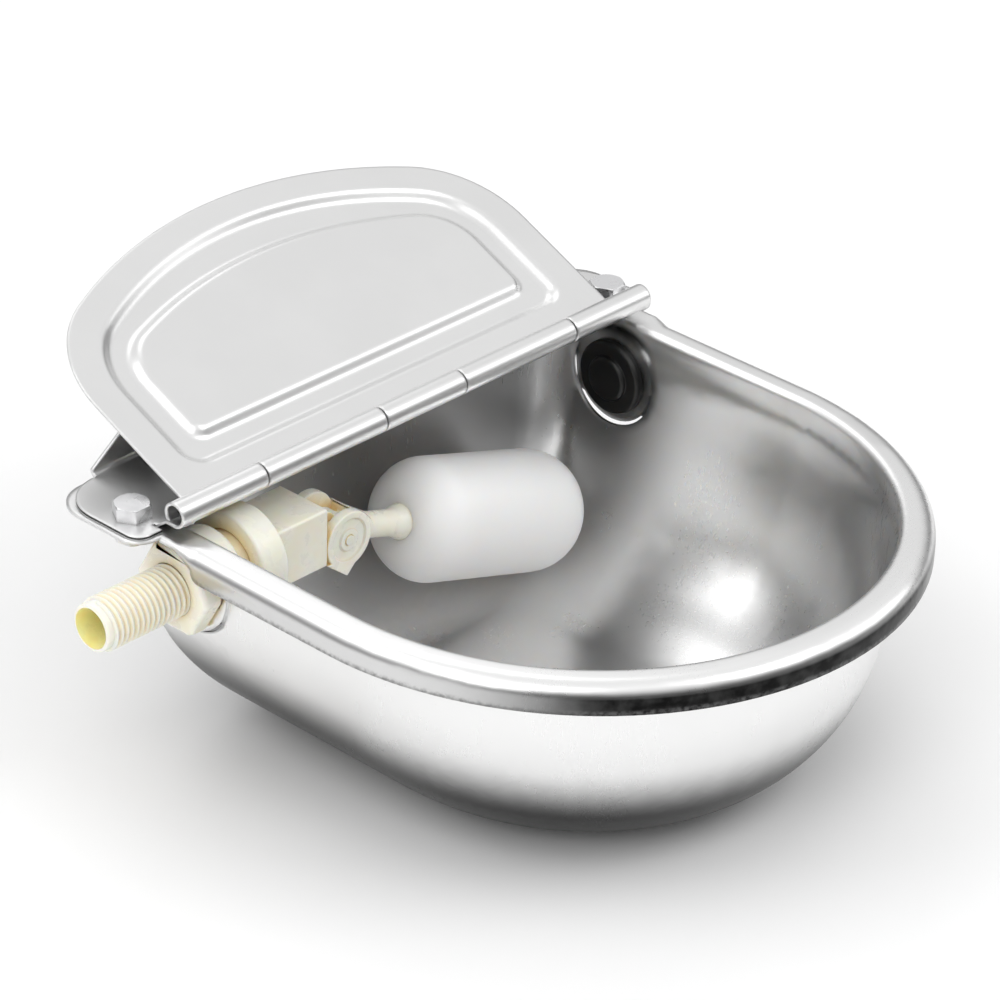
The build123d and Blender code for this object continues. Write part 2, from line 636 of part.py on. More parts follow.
def make_lid():
    """Lid sheet with a pressed ring groove and two hinge knuckles, swung to its open place."""
    top_z = -LID_BORE_RADIUS
    under_z = top_z - LID_SHEET
    slope_angle = atan(GROOVE_DEPTH / GROOVE_SLOPE_WIDTH)
    skin = LID_SHEET * tan(slope_angle / 2)
    outline = d_face(
        LID_HALF_WIDTH,
        LID_SIDE_LENGTH,
        LID_RISE,
        LID_CORNER_RADIUS,
        LID_HINGE_EDGE,
        LID_HINGE_CORNER_RADIUS,
    )
    lid = extrude(Pos(0, 0, under_z) * outline, LID_SHEET)
    lid += groove_solid(under_z, skin)
    lid -= groove_solid(top_z, 0)
    root = LID_HINGE_EDGE + LID_SHEET
    for span in knuckle_spans()[1]:
        tongue = [(0, under_z), (root, under_z), (root, top_z), (0, top_z)]
        lid += knuckle(span, LID_BORE_RADIUS, LID_SHEET, tongue)
    return Pos(0, HINGE_Y, HINGE_Z) * Rot(LID_OPEN_DEGREES, 0, 0) * lid


def make_hinge_pin():
    """The pin, set back inside both end knuckles."""
    half = HINGE_HALF_LENGTH - PIN_RECESS
    plane = Plane(origin=(-half, HINGE_Y, HINGE_Z), z_dir=(1, 0, 0))
    return extrude(plane * Circle(PIN_RADIUS), 2 * half)


# ---- fasteners
def hexagon(flats):
    """A hexagon from the distance across its flats."""
    return RegularPolygon(flats / 2, 6, major_radius=False)


def crown(flats, z_low, z_high, both_ends=False):
    """A hexagonal prism along Z with the usual chamfer turned on its end corners."""
    corner = flats / sqrt(3)
    drop = (corner - flats / 2) * tan(radians(HEAD_CHAMFER_DEGREES))
    foot = [(flats / 2, z_low), (corner, z_low + drop)] if both_ends else [(corner, z_low)]
    top = [(corner, z_high - drop), (flats / 2, z_high), (0, z_high)]
    profile = Polyline((0, z_low), *foot, *top, close=True)
    envelope = revolve(Plane.XZ * make_face(profile), Axis.Z)
    return extrude(Pos(0, 0, z_low) * hexagon(flats), z_high - z_low) & envelope


def at_bolts(piece):
    """The piece repeated at both bolts, as one compound."""
    return Compound([Pos(side * BOLT_X, BOLT_Y, 0) * piece for side in SIDES])


def make_bolts():
    """Hexagon head bolts through the bracket's and the flange's ears."""
    tail_z = NUT_TOP_Z - NUT_HEIGHT - BOLT_TAIL
    head = crown(BOLT_HEAD_FLATS, BRACKET_TOP_Z, BRACKET_TOP_Z + BOLT_HEAD_HEIGHT)
    shank = extrude(Pos(0, 0, tail_z) * Circle(BOLT_RADIUS), BRACKET_TOP_Z - tail_z)
    return at_bolts((head + shank).solid())


def make_washers():
    """Plain washers under the flange's ears."""
    plate = Circle(WASHER_RADIUS) - Circle(BOLT_HOLE_RADIUS)
    return at_bolts(extrude(Pos(0, 0, NUT_TOP_Z) * plate, WASHER_THICKNESS).solid())


def make_nuts():
    """Hexagon nuts on the bolts' lower ends."""
    low_z = NUT_TOP_Z - NUT_HEIGHT
    nut = crown(BOLT_HEAD_FLATS, low_z, NUT_TOP_Z, both_ends=True)
    bore = extrude(Pos(0, 0, low_z) * Circle(BOLT_RADIUS), NUT_HEIGHT)
    return at_bolts((nut - bore).solid())


# ---- water inlet
def make_spigot():
    """Hollow threaded spigot: chamfered lead end, flange against the wall, neck and end collar.

    A relief groove just inside the lock nut ends the free length of the thread.
    """
    relief_radius = THREAD_RADIUS - THREAD_RELIEF_DEPTH
    relief_end = OUTER_NUT_X + THREAD_RELIEF_LENGTH
    mouth_end = INLET_END_X + INLET_MOUTH_DEPTH
    seal_x = SOCKET_X - NOZZLE_SEAL_THICKNESS
    return turned(
        [
            (INLET_END_X, INLET_MOUTH_RADIUS, 0),
            (INLET_END_X, THREAD_RADIUS - INLET_END_CHAMFER, 0),
            (INLET_END_X + INLET_END_CHAMFER, THREAD_RADIUS, 0),
            (OUTER_NUT_X, THREAD_RADIUS, 0),
            (OUTER_NUT_X, relief_radius, 0),
            (relief_end, relief_radius, 0),
            (relief_end, THREAD_RADIUS, 0),
            (SPIGOT_FLANGE_X, THREAD_RADIUS, 0),
            (SPIGOT_FLANGE_X, SPIGOT_FLANGE_RADIUS, 0),
            (SPIGOT_NECK_X, SPIGOT_FLANGE_RADIUS, SPIGOT_FLANGE_ROUND),
            (SPIGOT_NECK_X, SPIGOT_NECK_RADIUS, 0),
            (COLLAR_X, SPIGOT_NECK_RADIUS, 0),
            (COLLAR_X, SPIGOT_COLLAR_RADIUS, 0),
            (SOCKET_X, SPIGOT_COLLAR_RADIUS, 0),
            (SOCKET_X, NOZZLE_SEAL_RADIUS, 0),
            (seal_x, NOZZLE_SEAL_RADIUS, 0),
            (seal_x, INLET_BORE_RADIUS, 0),
            (mouth_end, INLET_BORE_RADIUS, 0),
        ]
    )


def make_lock_nut():
    """Large thin hexagon nut outside the wall, its corners turned round."""
    plane = Plane(origin=(OUTER_NUT_X, PORT_Y, PORT_Z), x_dir=(0, 1, 0), z_dir=(1, 0, 0))
    nut = extrude(plane * hexagon(OUTER_NUT_FLATS), OUTER_NUT_LENGTH)
    return nut & ring(THREAD_RADIUS, OUTER_NUT_CORNER_RADIUS, OUTER_NUT_X, -PORT_FACE_X)


def make_gasket():
    """Rubber ring between the wall and the spigot's flange."""
    return ring(PORT_RADIUS, SPIGOT_FLANGE_RADIUS, -PORT_INNER_X, SPIGOT_FLANGE_X)


def make_union():
    """Round union ring: its lip holds the spigot's collar, its barrel goes over the socket."""
    neck_bore = SPIGOT_NECK_RADIUS + PORT_CLEARANCE
    return turned(
        [
            (UNION_X, neck_bore, 0),
            (UNION_X, UNION_RADIUS, UNION_EDGE),
            (BLOCK_X, UNION_RADIUS, UNION_EDGE),
            (BLOCK_X, SOCKET_RADIUS, 0),
            (COLLAR_X, SOCKET_RADIUS, 0),
            (COLLAR_X, neck_bore, 0),
        ]
    )


# ---- valve
def make_nozzle_seal():
    """Flat ring seal between the spigot's end and the nozzle."""
    return ring(INLET_BORE_RADIUS, NOZZLE_SEAL_RADIUS, SOCKET_X - NOZZLE_SEAL_THICKNESS, SOCKET_X)


def make_nozzle():
    """Seat nozzle in the chamber's mouth, with the orifice that the plunger closes."""
    flange_x = SOCKET_X + NOZZLE_FLANGE_LENGTH
    return turned(
        [
            (SOCKET_X, ORIFICE_RADIUS, 0),
            (SOCKET_X, CHAMBER_RADIUS, 0),
            (flange_x, CHAMBER_RADIUS, 0),
            (flange_x, NOZZLE_TIP_RADIUS, 0),
            (NOZZLE_TIP_X, NOZZLE_TIP_RADIUS, 0),
            (NOZZLE_TIP_X, ORIFICE_RADIUS, 0),
        ]
    )


def make_block():
    """Valve block: round socket, water chamber, plunger guide and two pivot tongues."""
    half_y = BLOCK_DEPTH / 2
    low = (BLOCK_X, PORT_Y - half_y, PORT_Z - BLOCK_HEIGHT / 2)
    high = (BLOCK_END_X, PORT_Y + half_y, PORT_Z + BLOCK_HEIGHT / 2)
    block = box_between(low, high)
    block = fillet(block.edges().filter_by(Axis.X), BLOCK_EDGE)
    block += port_disc(SOCKET_RADIUS, SOCKET_X, BLOCK_X)
    for side in SIDES:
        ys = sorted((side * TONGUE_GAP / 2, side * TONGUE_OUTER))
        start = (BLOCK_END_X - BLOCK_EDGE, PORT_Y + ys[0], PIVOT_Z - TONGUE_END_RADIUS)
        block += box_between(start, (PIVOT_X, PORT_Y + ys[1], PIVOT_Z + TONGUE_END_RADIUS))
        block += cross_disc(TONGUE_END_RADIUS, PIVOT_X, PIVOT_Z, *ys)
    block -= port_disc(CHAMBER_RADIUS, SOCKET_X, CHAMBER_END_X)
    block -= port_disc(GUIDE_RADIUS, CHAMBER_END_X, BLOCK_END_X)
    block -= cross_disc(PIVOT_PIN_RADIUS, PIVOT_X, PIVOT_Z, -TONGUE_OUTER, TONGUE_OUTER)
    slot_low = (CHAMBER_END_X - OUTLET_LENGTH, PORT_Y - OUTLET_WIDTH / 2, low[2])
    return block - box_between(slot_low, (CHAMBER_END_X, PORT_Y + OUTLET_WIDTH / 2, PORT_Z))


def make_plunger():
    """Plunger that the lever's nose pushes towards the nozzle."""
    head_end = PLUNGER_HEAD_X + PLUNGER_HEAD_LENGTH
    return port_disc(PLUNGER_HEAD_RADIUS, PLUNGER_HEAD_X, head_end) + port_disc(
        PLUNGER_RADIUS, head_end, PLUNGER_END_X
    )


def make_plunger_seal():
    """Rubber disc on the plunger's face."""
    return port_disc(SEAL_RADIUS, SEAL_X, PLUNGER_HEAD_X)


def make_pivot_pin():
    """Pin through the block's tongues and the lever's hub and cheeks."""
    half = CHEEK_OUTER + PIVOT_PIN_PROUD
    return cross_disc(PIVOT_PIN_RADIUS, PIVOT_X, PIVOT_Z, -half, half)


# ---- float lever and float
def along_arm(solid):
    """Turns a solid built along +X from the pivot to the arm's resting slope."""
    return Pos(PIVOT_X, PORT_Y, PIVOT_Z) * Rot(0, -ARM_DEGREES, 0) * solid


def arm_section(distance, sketch):
    """A sketch set square across the arm."""
    return Plane(origin=(distance, 0, 0), x_dir=(0, 1, 0), z_dir=(1, 0, 0)) * sketch


def make_arm():
    """The lever's web and its round neck, which flares into a collar before the float."""
    width = 2 * CHEEK_OUTER
    web = loft(
        [
            arm_section(WEB_START, RectangleRounded(width, WEB_HEIGHT, HUB_HALF)),
            arm_section(NECK_START, Circle(NECK_RADIUS)),
        ]
    )
    neck = extrude(arm_section(NECK_START, Circle(NECK_RADIUS)), NECK_LENGTH)
    collar = loft(
        [
            arm_section(FLARE_START, Circle(NECK_RADIUS)),
            arm_section(FLOAT_START, Circle(NECK_FLARE_RADIUS)),
        ]
    )
    stub = extrude(arm_section(FLOAT_START, Circle(FLOAT_STUB_RADIUS)), FLOAT_STUB_LENGTH)
    bridge_end = WEB_START + WEB_CLEARANCE
    bridge = box_between((0, -HUB_HALF, -NECK_RADIUS), (bridge_end, HUB_HALF, NECK_RADIUS))
    return along_arm(web + neck + collar + stub + bridge)


def make_cheek(side):
    """One lever cheek: a disc with a sunk ring round its boss, and the stop lug."""
    inner_y, outer_y = sorted((side * CHEEK_INNER, side * CHEEK_OUTER))
    cheek = cross_disc(CHEEK_RADIUS, PIVOT_X, PIVOT_Z, inner_y, outer_y)
    lug = [
        (PIVOT_X - LUG_LEFT, PIVOT_Z - LUG_ROOT_DROP),
        (PIVOT_X - LUG_TIP_OFFSET, PIVOT_Z - LUG_TIP_DROP),
        (PIVOT_X + HUB_RADIUS, PIVOT_Z - LUG_ROOT_DROP),
    ]
    plane = Plane(origin=(0, PORT_Y + outer_y, 0), x_dir=(1, 0, 0), z_dir=(0, -1, 0))
    cheek += extrude(plane * make_face(Polyline(*lug, close=True)), CHEEK_THICKNESS)
    faces = sorted((side * (CHEEK_OUTER - CHEEK_RECESS), side * CHEEK_OUTER))
    sunk = cross_disc(CHEEK_RIM_RADIUS, PIVOT_X, PIVOT_Z, *faces)
    return cheek - (sunk - cross_disc(CHEEK_BOSS_RADIUS, PIVOT_X, PIVOT_Z, *faces))


def make_lever():
    """Float lever in one piece: hub with its nose, two cheeks, web, neck and stub."""
    lever = make_arm()
    lever += cross_disc(HUB_RADIUS, PIVOT_X, PIVOT_Z, -HUB_HALF, HUB_HALF)
    lever += cross_disc(NOSE_RADIUS, PIVOT_X - NOSE_BACK, PORT_Z, -HUB_HALF, HUB_HALF)
    for side in SIDES:
        lever += make_cheek(side)
    return lever - cross_disc(LEVER_BORE_RADIUS, PIVOT_X, PIVOT_Z, -CHEEK_OUTER, CHEEK_OUTER)


def make_float():
    """Hollow blow-moulded float with a socket boss for the lever's stub."""
    end = FLOAT_START + FLOAT_LENGTH

    def capsule(inset):
        corners = [
            (FLOAT_START + inset, 0, 0),
            (end - inset, 0, 0),
            (end - inset, FLOAT_RADIUS - inset, FLOAT_FAR_ROUND - inset),
            (FLOAT_START + inset, FLOAT_RADIUS - inset, FLOAT_NEAR_ROUND - inset),
        ]
        return revolve(Plane.XZ * rounded_face(corners), Axis.X)

    boss_start = FLOAT_START + FLOAT_WALL / 2
    boss = extrude(arm_section(boss_start, Circle(FLOAT_BOSS_RADIUS)), FLOAT_BOSS_LENGTH)
    socket = extrude(arm_section(FLOAT_START, Circle(FLOAT_STUB_RADIUS)), FLOAT_STUB_LENGTH)
    return along_arm(capsule(0) - capsule(FLOAT_WALL) + boss - socket)


# ---- rubber plug
def make_plug():
    """Rubber plug in the unused port: domed cap inside, shank, flange outside."""
    cap_x = PORT_INNER_X - PLUG_CAP_THICKNESS
    button_x = cap_x - PLUG_BUTTON_HEIGHT
    flange_x = PORT_FACE_X + PLUG_FLANGE_THICKNESS
    return turned(
        [
            (button_x, 0, 0),
            (button_x, PLUG_BUTTON_RADIUS, PLUG_CAP_ROUND),
            (cap_x, PLUG_BUTTON_RADIUS, 0),
            (cap_x, PLUG_CAP_RADIUS, PLUG_CAP_ROUND),
            (PORT_INNER_X, PLUG_CAP_RADIUS, 0),
            (PORT_INNER_X, PORT_RADIUS, 0),
            (PORT_FACE_X, PORT_RADIUS, 0),
            (PORT_FACE_X, PLUG_FLANGE_RADIUS, 0),
            (flange_x, PLUG_FLANGE_RADIUS, 0),
            (flange_x, 0, 0),
        ]
    )


PIECES = {
    "bowl_shell": make_bowl,
    "hinge_bracket": make_bracket,
    "lid": make_lid,
    "hinge_pin": make_hinge_pin,
    "bracket_bolts": make_bolts,
    "bracket_washers": make_washers,
    "bracket_nuts": make_nuts,
    "inlet_spigot": make_spigot,
    "outer_lock_nut": make_lock_nut,
    "wall_gasket": make_gasket,
    "union_ring": make_union,
    "nozzle_seal": make_nozzle_seal,
    "seat_nozzle": make_nozzle,
    "valve_block": make_block,
    "plunger": make_plunger,
    "plunger_seal": make_plunger_seal,
    "pivot_pin": make_pivot_pin,
    "float_lever": make_lever,
    "float_bulb": make_float,
    "side_plug": make_plug,
}

os.makedirs("parts", exist_ok=True)
for name, make_piece in PIECES.items():
    export_step(make_piece(), f"parts/{name}.step")
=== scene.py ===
import logging
import math
from collections.abc import Callable
from dataclasses import dataclass, field
from enum import Enum

import bmesh
import bpy
from mathutils import Matrix, Vector

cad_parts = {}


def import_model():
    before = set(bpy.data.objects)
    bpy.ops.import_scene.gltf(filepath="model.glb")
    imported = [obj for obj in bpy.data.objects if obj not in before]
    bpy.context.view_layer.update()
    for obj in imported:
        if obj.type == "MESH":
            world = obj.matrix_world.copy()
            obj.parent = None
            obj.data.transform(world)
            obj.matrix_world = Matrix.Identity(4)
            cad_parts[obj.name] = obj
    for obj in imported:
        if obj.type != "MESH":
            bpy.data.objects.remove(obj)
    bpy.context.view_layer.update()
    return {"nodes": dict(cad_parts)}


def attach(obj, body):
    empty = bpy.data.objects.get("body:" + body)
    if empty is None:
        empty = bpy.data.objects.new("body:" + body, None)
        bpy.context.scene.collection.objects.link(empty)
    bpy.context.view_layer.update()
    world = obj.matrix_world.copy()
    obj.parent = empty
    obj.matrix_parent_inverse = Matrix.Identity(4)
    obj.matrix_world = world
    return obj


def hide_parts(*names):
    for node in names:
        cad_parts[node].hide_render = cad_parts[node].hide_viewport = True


LOG = logging.getLogger("drinking_bowl")
MM = 0.001
MERGE = 0.002 * MM
FLAT = math.radians(0.1)
SHARP = math.radians(35.0)
Colour = tuple[float, float, float]
Point = tuple[float, float, float]
Span = tuple[float, float]
Socket = bpy.types.NodeSocket
Axes = bpy.types.NodeOutputs
Shape = bmesh.types.BMesh
NUMBER = "NodeSocketFloat"
CLOUD_SPAN: Span = (0.32, 0.68)
RUB_TURN: Span = (0.995, 0.86)
RUB_SCALE = 260.0
RUB_BREAK: Span = (0.35, 0.6)
RUB_LEAST = 0.25
SPECK_RARE = 0.62
# Ambient occlusion values between which the painted shade in hollows comes in.
HOLLOW_SHADE_SPAN: Span = (0.9, 0.25)
GRAIN_ROUGH = 0.06
# Breaks up the skirt's painted dark reflection slightly.
REFLECTION_CLOUDS = {"Scale": 160.0, "Low": 0.97, "High": 1.0}
GRIT_CLOUDS = {"Scale": 520.0, "Low": 0.0, "High": 0.6}


def grey(level: float) -> Colour:
    """A grey of one level."""
    return (level, level, level)


class Effect(Enum):
    """Surface effects shared by the finishes, one shader node group each."""

    CLOUDS = "polish_clouds"
    GRAIN = "drawn_grain"
    EDGES = "rubbed_edges"
    SPECKS = "dust_specks"
    SHADED_HOLLOWS = "shaded_hollows"


class Body(Enum):
    """The moving bodies that new pieces ride on."""

    BOWL = "bowl"
    LID = "lid"
    ARM = "float_arm"


class Slot(Enum):
    """The record's material slots, named for new pieces but not read."""

    SHEET = "stainless_sheet"
    ZINC = "zinc_fastener"
    IVORY = "ivory_plastic"
    MILKY = "milky_float"
    RUBBER = "black_rubber"


@dataclass
class NodeBench:
    """Adds nodes to one node tree and joins their sockets.

    Attributes:
        tree: the material's, world's or group's node tree.
    """

    tree: bpy.types.NodeTree

    def add(self, kind: str, **settings: object) -> bpy.types.Node:
        """Adds a node.

        Args:
            kind: the node's type name.
            settings: properties to set on it.

        Returns:
            The new node.
        """
        node = self.tree.nodes.new(kind)
        for key, value in settings.items():
            setattr(node, key, value)
        return node

    def feed(self, target: Socket, value: object) -> None:
        """Joins a socket to the target, or sets a plain value on it.

        Args:
            target: the input socket.
            value: an output socket, a number or a colour.
        """
        if isinstance(value, Socket):
            self.tree.links.new(value, target)
        elif isinstance(value, tuple) and len(value) < len(target.default_value):
            target.default_value = (*value, 1.0)
        else:
            target.default_value = value

    def math(self, operation: str, *values: object) -> Socket:
        """Works out a value from one or two others.

        Args:
            operation: the Math node's operation.
            values: sockets or numbers.

        Returns:
            The result's socket.
        """
        node = self.add("ShaderNodeMath", operation=operation)
        for index, value in enumerate(values):
            self.feed(node.inputs[index], value)
        return node.outputs[0]

    def product(self, *values: object) -> Socket:
        """Multiplies values, one after the other.

        Args:
            values: sockets or numbers.

        Returns:
            The product's socket.
        """
        result = values[0]
        for value in values[1:]:
            result = self.math("MULTIPLY", result, value)
        return result

    def spread(
        self,
        value: object,
        start: object,
        end: object,
        low: object = 0.0,
        high: object = 1.0,
    ) -> Socket:
        """Maps one range of values smoothly onto another.

        Args:
            value: the value to map.
            start: the first range's start.
            end: the first range's end.
            low: what the start becomes.
            high: what the end becomes.

        Returns:
            The mapped value's socket.
        """
        node = self.add("ShaderNodeMapRange", interpolation_type="SMOOTHSTEP")
        for index, item in enumerate((value, start, end, low, high)):
            self.feed(node.inputs[index], item)
        return node.outputs[0]

    def fade(
        self, value: object, span: Span, low: float = 0.0, high: float = 1.0
    ) -> Socket:
        """Spreads a value in metres over a span in millimetres."""
        return self.spread(value, span[0] * MM, span[1] * MM, low, high)

    def length(self, first: Socket, second: Socket) -> Socket:
        """The long side of a right-angled triangle, from its two others."""
        square = self.product(second, second)
        return self.math("SQRT", self.math("ADD", self.product(first, first), square))

    def place(self) -> Socket:
        """The shaded point's place on its object, in metres."""
        return self.add("ShaderNodeTexCoord").outputs["Object"]

    def normal(self) -> Socket:
        """The surface's own normal."""
        return self.add("ShaderNodeNewGeometry").outputs["Normal"]

    def parts(self, vector: Socket) -> Axes:
        """Splits a vector.

        Args:
            vector: the vector's socket.

        Returns:
            Its X, Y and Z sockets, by name.
        """
        node = self.add("ShaderNodeSeparateXYZ")
        self.feed(node.inputs[0], vector)
        return node.outputs

    def noise(self, vector: Socket, scale: object, detail: float = 2.0) -> Socket:
        """Makes noise.

        Args:
            vector: where it is read.
            scale: how fine it is.
            detail: how many finer layers it has.

        Returns:
            Its value's socket.
        """
        node = self.add("ShaderNodeTexNoise")
        self.feed(node.inputs["Vector"], vector)
        self.feed(node.inputs["Scale"], scale)
        self.feed(node.inputs["Detail"], detail)
        return node.outputs[0]

    def blend(self, mask: object, first: object, second: object) -> Socket:
        """Mixes two colours by a mask.

        Args:
            mask: 0 for the first colour, 1 for the second.
            first: a colour or a colour's socket.
            second: a colour or a colour's socket.

        Returns:
            The mixed colour's socket.
        """
        node = self.add("ShaderNodeMix", data_type="RGBA")
        self.feed(node.inputs["Factor"], mask)
        self.feed(node.inputs[6], first)
        self.feed(node.inputs[7], second)
        return node.outputs[2]


class EffectShelf:
    """Builds each shared effect's node group once and places it in materials."""

    def __init__(self) -> None:
        """Builds the groups."""
        self.groups = {
            Effect.CLOUDS: self._clouds(),
            Effect.GRAIN: self._grain(),
            Effect.EDGES: self._edges(),
            Effect.SPECKS: self._specks(),
            Effect.SHADED_HOLLOWS: self._shaded_hollows(),
        }

    def place(self, bench: NodeBench, effect: Effect, **values: object) -> Socket:
        """Places an effect in a material.

        Args:
            bench: the material's bench.
            effect: which effect.
            values: the group's inputs by name.

        Returns:
            The effect's output socket.
        """
        node = bench.add("ShaderNodeGroup", node_tree=self.groups[effect])
        for key, value in values.items():
            bench.feed(node.inputs[key], value)
        return node.outputs[0]

    def _group(
        self, effect: Effect, inputs: dict[str, tuple[str, object]]
    ) -> tuple[NodeBench, bpy.types.Node, Socket]:
        """Starts a group.

        Args:
            effect: the effect it holds.
            inputs: each input's name, with its socket type and default.

        Returns:
            Its bench, its input node and the socket for its result.
        """
        tree = bpy.data.node_groups.new(effect.value, "ShaderNodeTree")
        for name, (kind, value) in inputs.items():
            socket = tree.interface.new_socket(name, in_out="INPUT", socket_type=kind)
            socket.default_value = value
        tree.interface.new_socket("Value", in_out="OUTPUT", socket_type=NUMBER)
        bench = NodeBench(tree)
        source = bench.add("NodeGroupInput")
        return bench, source, bench.add("NodeGroupOutput").inputs[0]

    def _clouds(self) -> bpy.types.NodeTree:
        """Soft clouds, as polishing leaves on metal and moulding on plastic.

        Returns:
            The group.
        """
        inputs = {"Scale": (NUMBER, 60.0), "Low": (NUMBER, 0.0), "High": (NUMBER, 1.0)}
        bench, source, result = self._group(Effect.CLOUDS, inputs)
        given = source.outputs
        noise = bench.noise(bench.place(), given["Scale"], 4.0)
        value = bench.spread(noise, *CLOUD_SPAN, given["Low"], given["High"])
        bench.feed(result, value)
        return bench.tree

    def _grain(self) -> bpy.types.NodeTree:
        """Fine grain that can be drawn out along one direction.

        Returns:
            The group.
        """
        inputs = {
            "Scale": (NUMBER, 900.0),
            "Draw": ("NodeSocketVector", (1.0, 1.0, 1.0)),
        }
        bench, source, result = self._group(Effect.GRAIN, inputs)
        drawn = bench.add("ShaderNodeVectorMath", operation="MULTIPLY")
        bench.feed(drawn.inputs[0], bench.place())
        bench.feed(drawn.inputs[1], source.outputs["Draw"])
        noise = bench.noise(drawn.outputs[0], source.outputs["Scale"], 3.0)
        bench.feed(result, noise)
        return bench.tree

    def _edges(self) -> bpy.types.NodeTree:
        """A mask of the edges that handling rubs, broken up by noise.

        Returns:
            The group.
        """
        inputs = {"Reach": (NUMBER, 0.8 * MM)}
        bench, source, result = self._group(Effect.EDGES, inputs)
        bevel = bench.add("ShaderNodeBevel", samples=4)
        bench.feed(bevel.inputs["Radius"], source.outputs["Reach"])
        turn = bench.add("ShaderNodeVectorMath", operation="DOT_PRODUCT")
        bench.feed(turn.inputs[0], bevel.outputs[0])
        bench.feed(turn.inputs[1], bench.normal())
        mask = bench.spread(turn.outputs["Value"], *RUB_TURN)
        noise = bench.noise(bench.place(), RUB_SCALE)
        broken = bench.spread(noise, *RUB_BREAK, RUB_LEAST)
        bench.feed(result, bench.product(mask, broken))
        return bench.tree

    def _specks(self) -> bpy.types.NodeTree:
        """A mask of small scattered specks, of dust or moulding flecks.

        Returns:
            The group.
        """
        inputs = {"Scale": (NUMBER, 500.0), "Size": (NUMBER, 0.12)}
        bench, source, result = self._group(Effect.SPECKS, inputs)
        cells = bench.add("ShaderNodeTexVoronoi")
        bench.feed(cells.inputs["Vector"], bench.place())
        bench.feed(cells.inputs["Scale"], source.outputs["Scale"])
        near = bench.spread(cells.outputs["Distance"], source.outputs["Size"], 0.0)
        rare = bench.math("GREATER_THAN", cells.outputs["Color"], SPECK_RARE)
        bench.feed(result, bench.product(near, rare))
        return bench.tree

    def _shaded_hollows(self) -> bpy.types.NodeTree:
        """A mask of gaps and inner corners, for the painted shade that darkens them.

        Returns:
            The group.
        """
        inputs = {"Reach": (NUMBER, 6.0 * MM)}
        bench, source, result = self._group(Effect.SHADED_HOLLOWS, inputs)
        open_share = bench.add("ShaderNodeAmbientOcclusion", samples=6)
        bench.feed(open_share.inputs["Distance"], source.outputs["Reach"])
        bench.feed(result, bench.spread(open_share.outputs["AO"], *HOLLOW_SHADE_SPAN))
        return bench.tree


@dataclass(frozen=True)
class Finish:
    """A finish: two near colours in clouds, grain, rubbed edges, specks and painted
    shade in hollows.

    Attributes:
        name: the material's name.
        colour: the main colour.
        shade: the colour of the darker clouds.
        smooth: roughness of the best polished clouds.
        dull: roughness of the dullest clouds.
        cloud_scale: how many clouds to a metre.
        grain_scale: how many grains to a metre.
        grain_depth: height of the grain, in millimetres.
        rubbed: the colour of rubbed edges.
        speck: the colour of specks.
        draw: how much the grain is squeezed along each axis; under 1 draws it out.
        metallic: 1 for metal.
        hollow_shade: painted shade, the colour that gaps and inner corners take where
            shade falls, or None for no change.
        hollow_shade_reach: how wide a gap counts, in millimetres.
        speck_size: radius of a speck, as a share of its cell.
        glow_weight: share of light that scatters inside.
        glow_reach: how far red, green and blue scatter, in millimetres.
        coat: weight of a clear glossy skin.
        soft_edge: radius to which creases look rounded, in millimetres.
    """

    name: str
    colour: Colour
    shade: Colour
    smooth: float
    dull: float
    cloud_scale: float
    grain_scale: float
    grain_depth: float
    rubbed: Colour
    speck: Colour
    draw: Point = (1.0, 1.0, 1.0)
    metallic: float = 0.0
    hollow_shade: Colour | None = None
    hollow_shade_reach: float = 4.0
    speck_size: float = 0.1
    glow_weight: float = 0.0
    glow_reach: Point = (3.0, 2.0, 1.0)
    coat: float = 0.0
    soft_edge: float = 0.5

    def make(self, shelf: EffectShelf) -> bpy.types.Material:
        """Makes the material.

        Args:
            shelf: the shared effects.

        Returns:
            The new material.
        """
        material = bpy.data.materials.new(self.name)
        material.use_nodes = True
        bench = NodeBench(material.node_tree)
        surface = bench.tree.nodes["Principled BSDF"]
        clouds = shelf.place(bench, Effect.CLOUDS, Scale=self.cloud_scale)
        grain = shelf.place(bench, Effect.GRAIN, Scale=self.grain_scale, Draw=self.draw)
        edges = shelf.place(bench, Effect.EDGES)
        specks = shelf.place(bench, Effect.SPECKS, Size=self.speck_size)
        colour = bench.blend(clouds, self.shade, self.colour)
        colour = bench.blend(edges, colour, self.rubbed)
        colour = self.paint(bench, shelf, colour)
        # Painted shade: gaps and inner corners take the hollow shade colour.
        if self.hollow_shade is not None:
            gaps = shelf.place(bench, Effect.SHADED_HOLLOWS, Reach=self.hollow_shade_reach * MM)
            colour = bench.blend(gaps, colour, self.hollow_shade)
        rough = bench.spread(clouds, 0.0, 1.0, self.dull, self.smooth)
        spread = bench.product(bench.math("SUBTRACT", grain, 0.5), GRAIN_ROUGH)
        soft = bench.add("ShaderNodeBevel", samples=6)
        bench.feed(soft.inputs["Radius"], self.soft_edge * MM)
        bump = bench.add("ShaderNodeBump")
        bench.feed(bump.inputs["Distance"], self.grain_depth * MM)
        bench.feed(bump.inputs["Height"], grain)
        bench.feed(bump.inputs["Normal"], soft.outputs[0])
        look = {
            "Base Color": bench.blend(specks, colour, self.speck),
            "Roughness": bench.math("ADD", rough, spread),
            "Normal": bump.outputs[0],
            "Metallic": self.metallic,
            "Subsurface Weight": self.glow_weight,
            "Subsurface Radius": self.glow_reach,
            "Subsurface Scale": MM,
            "Coat Weight": self.coat,
        }
        for name, value in look.items():
            bench.feed(surface.inputs[name], value)
        return material

    def paint(self, bench: NodeBench, shelf: EffectShelf, colour: Socket) -> Socket:
        """Adds a finish's own marks to its colour; the plain finish has none."""
        return colour


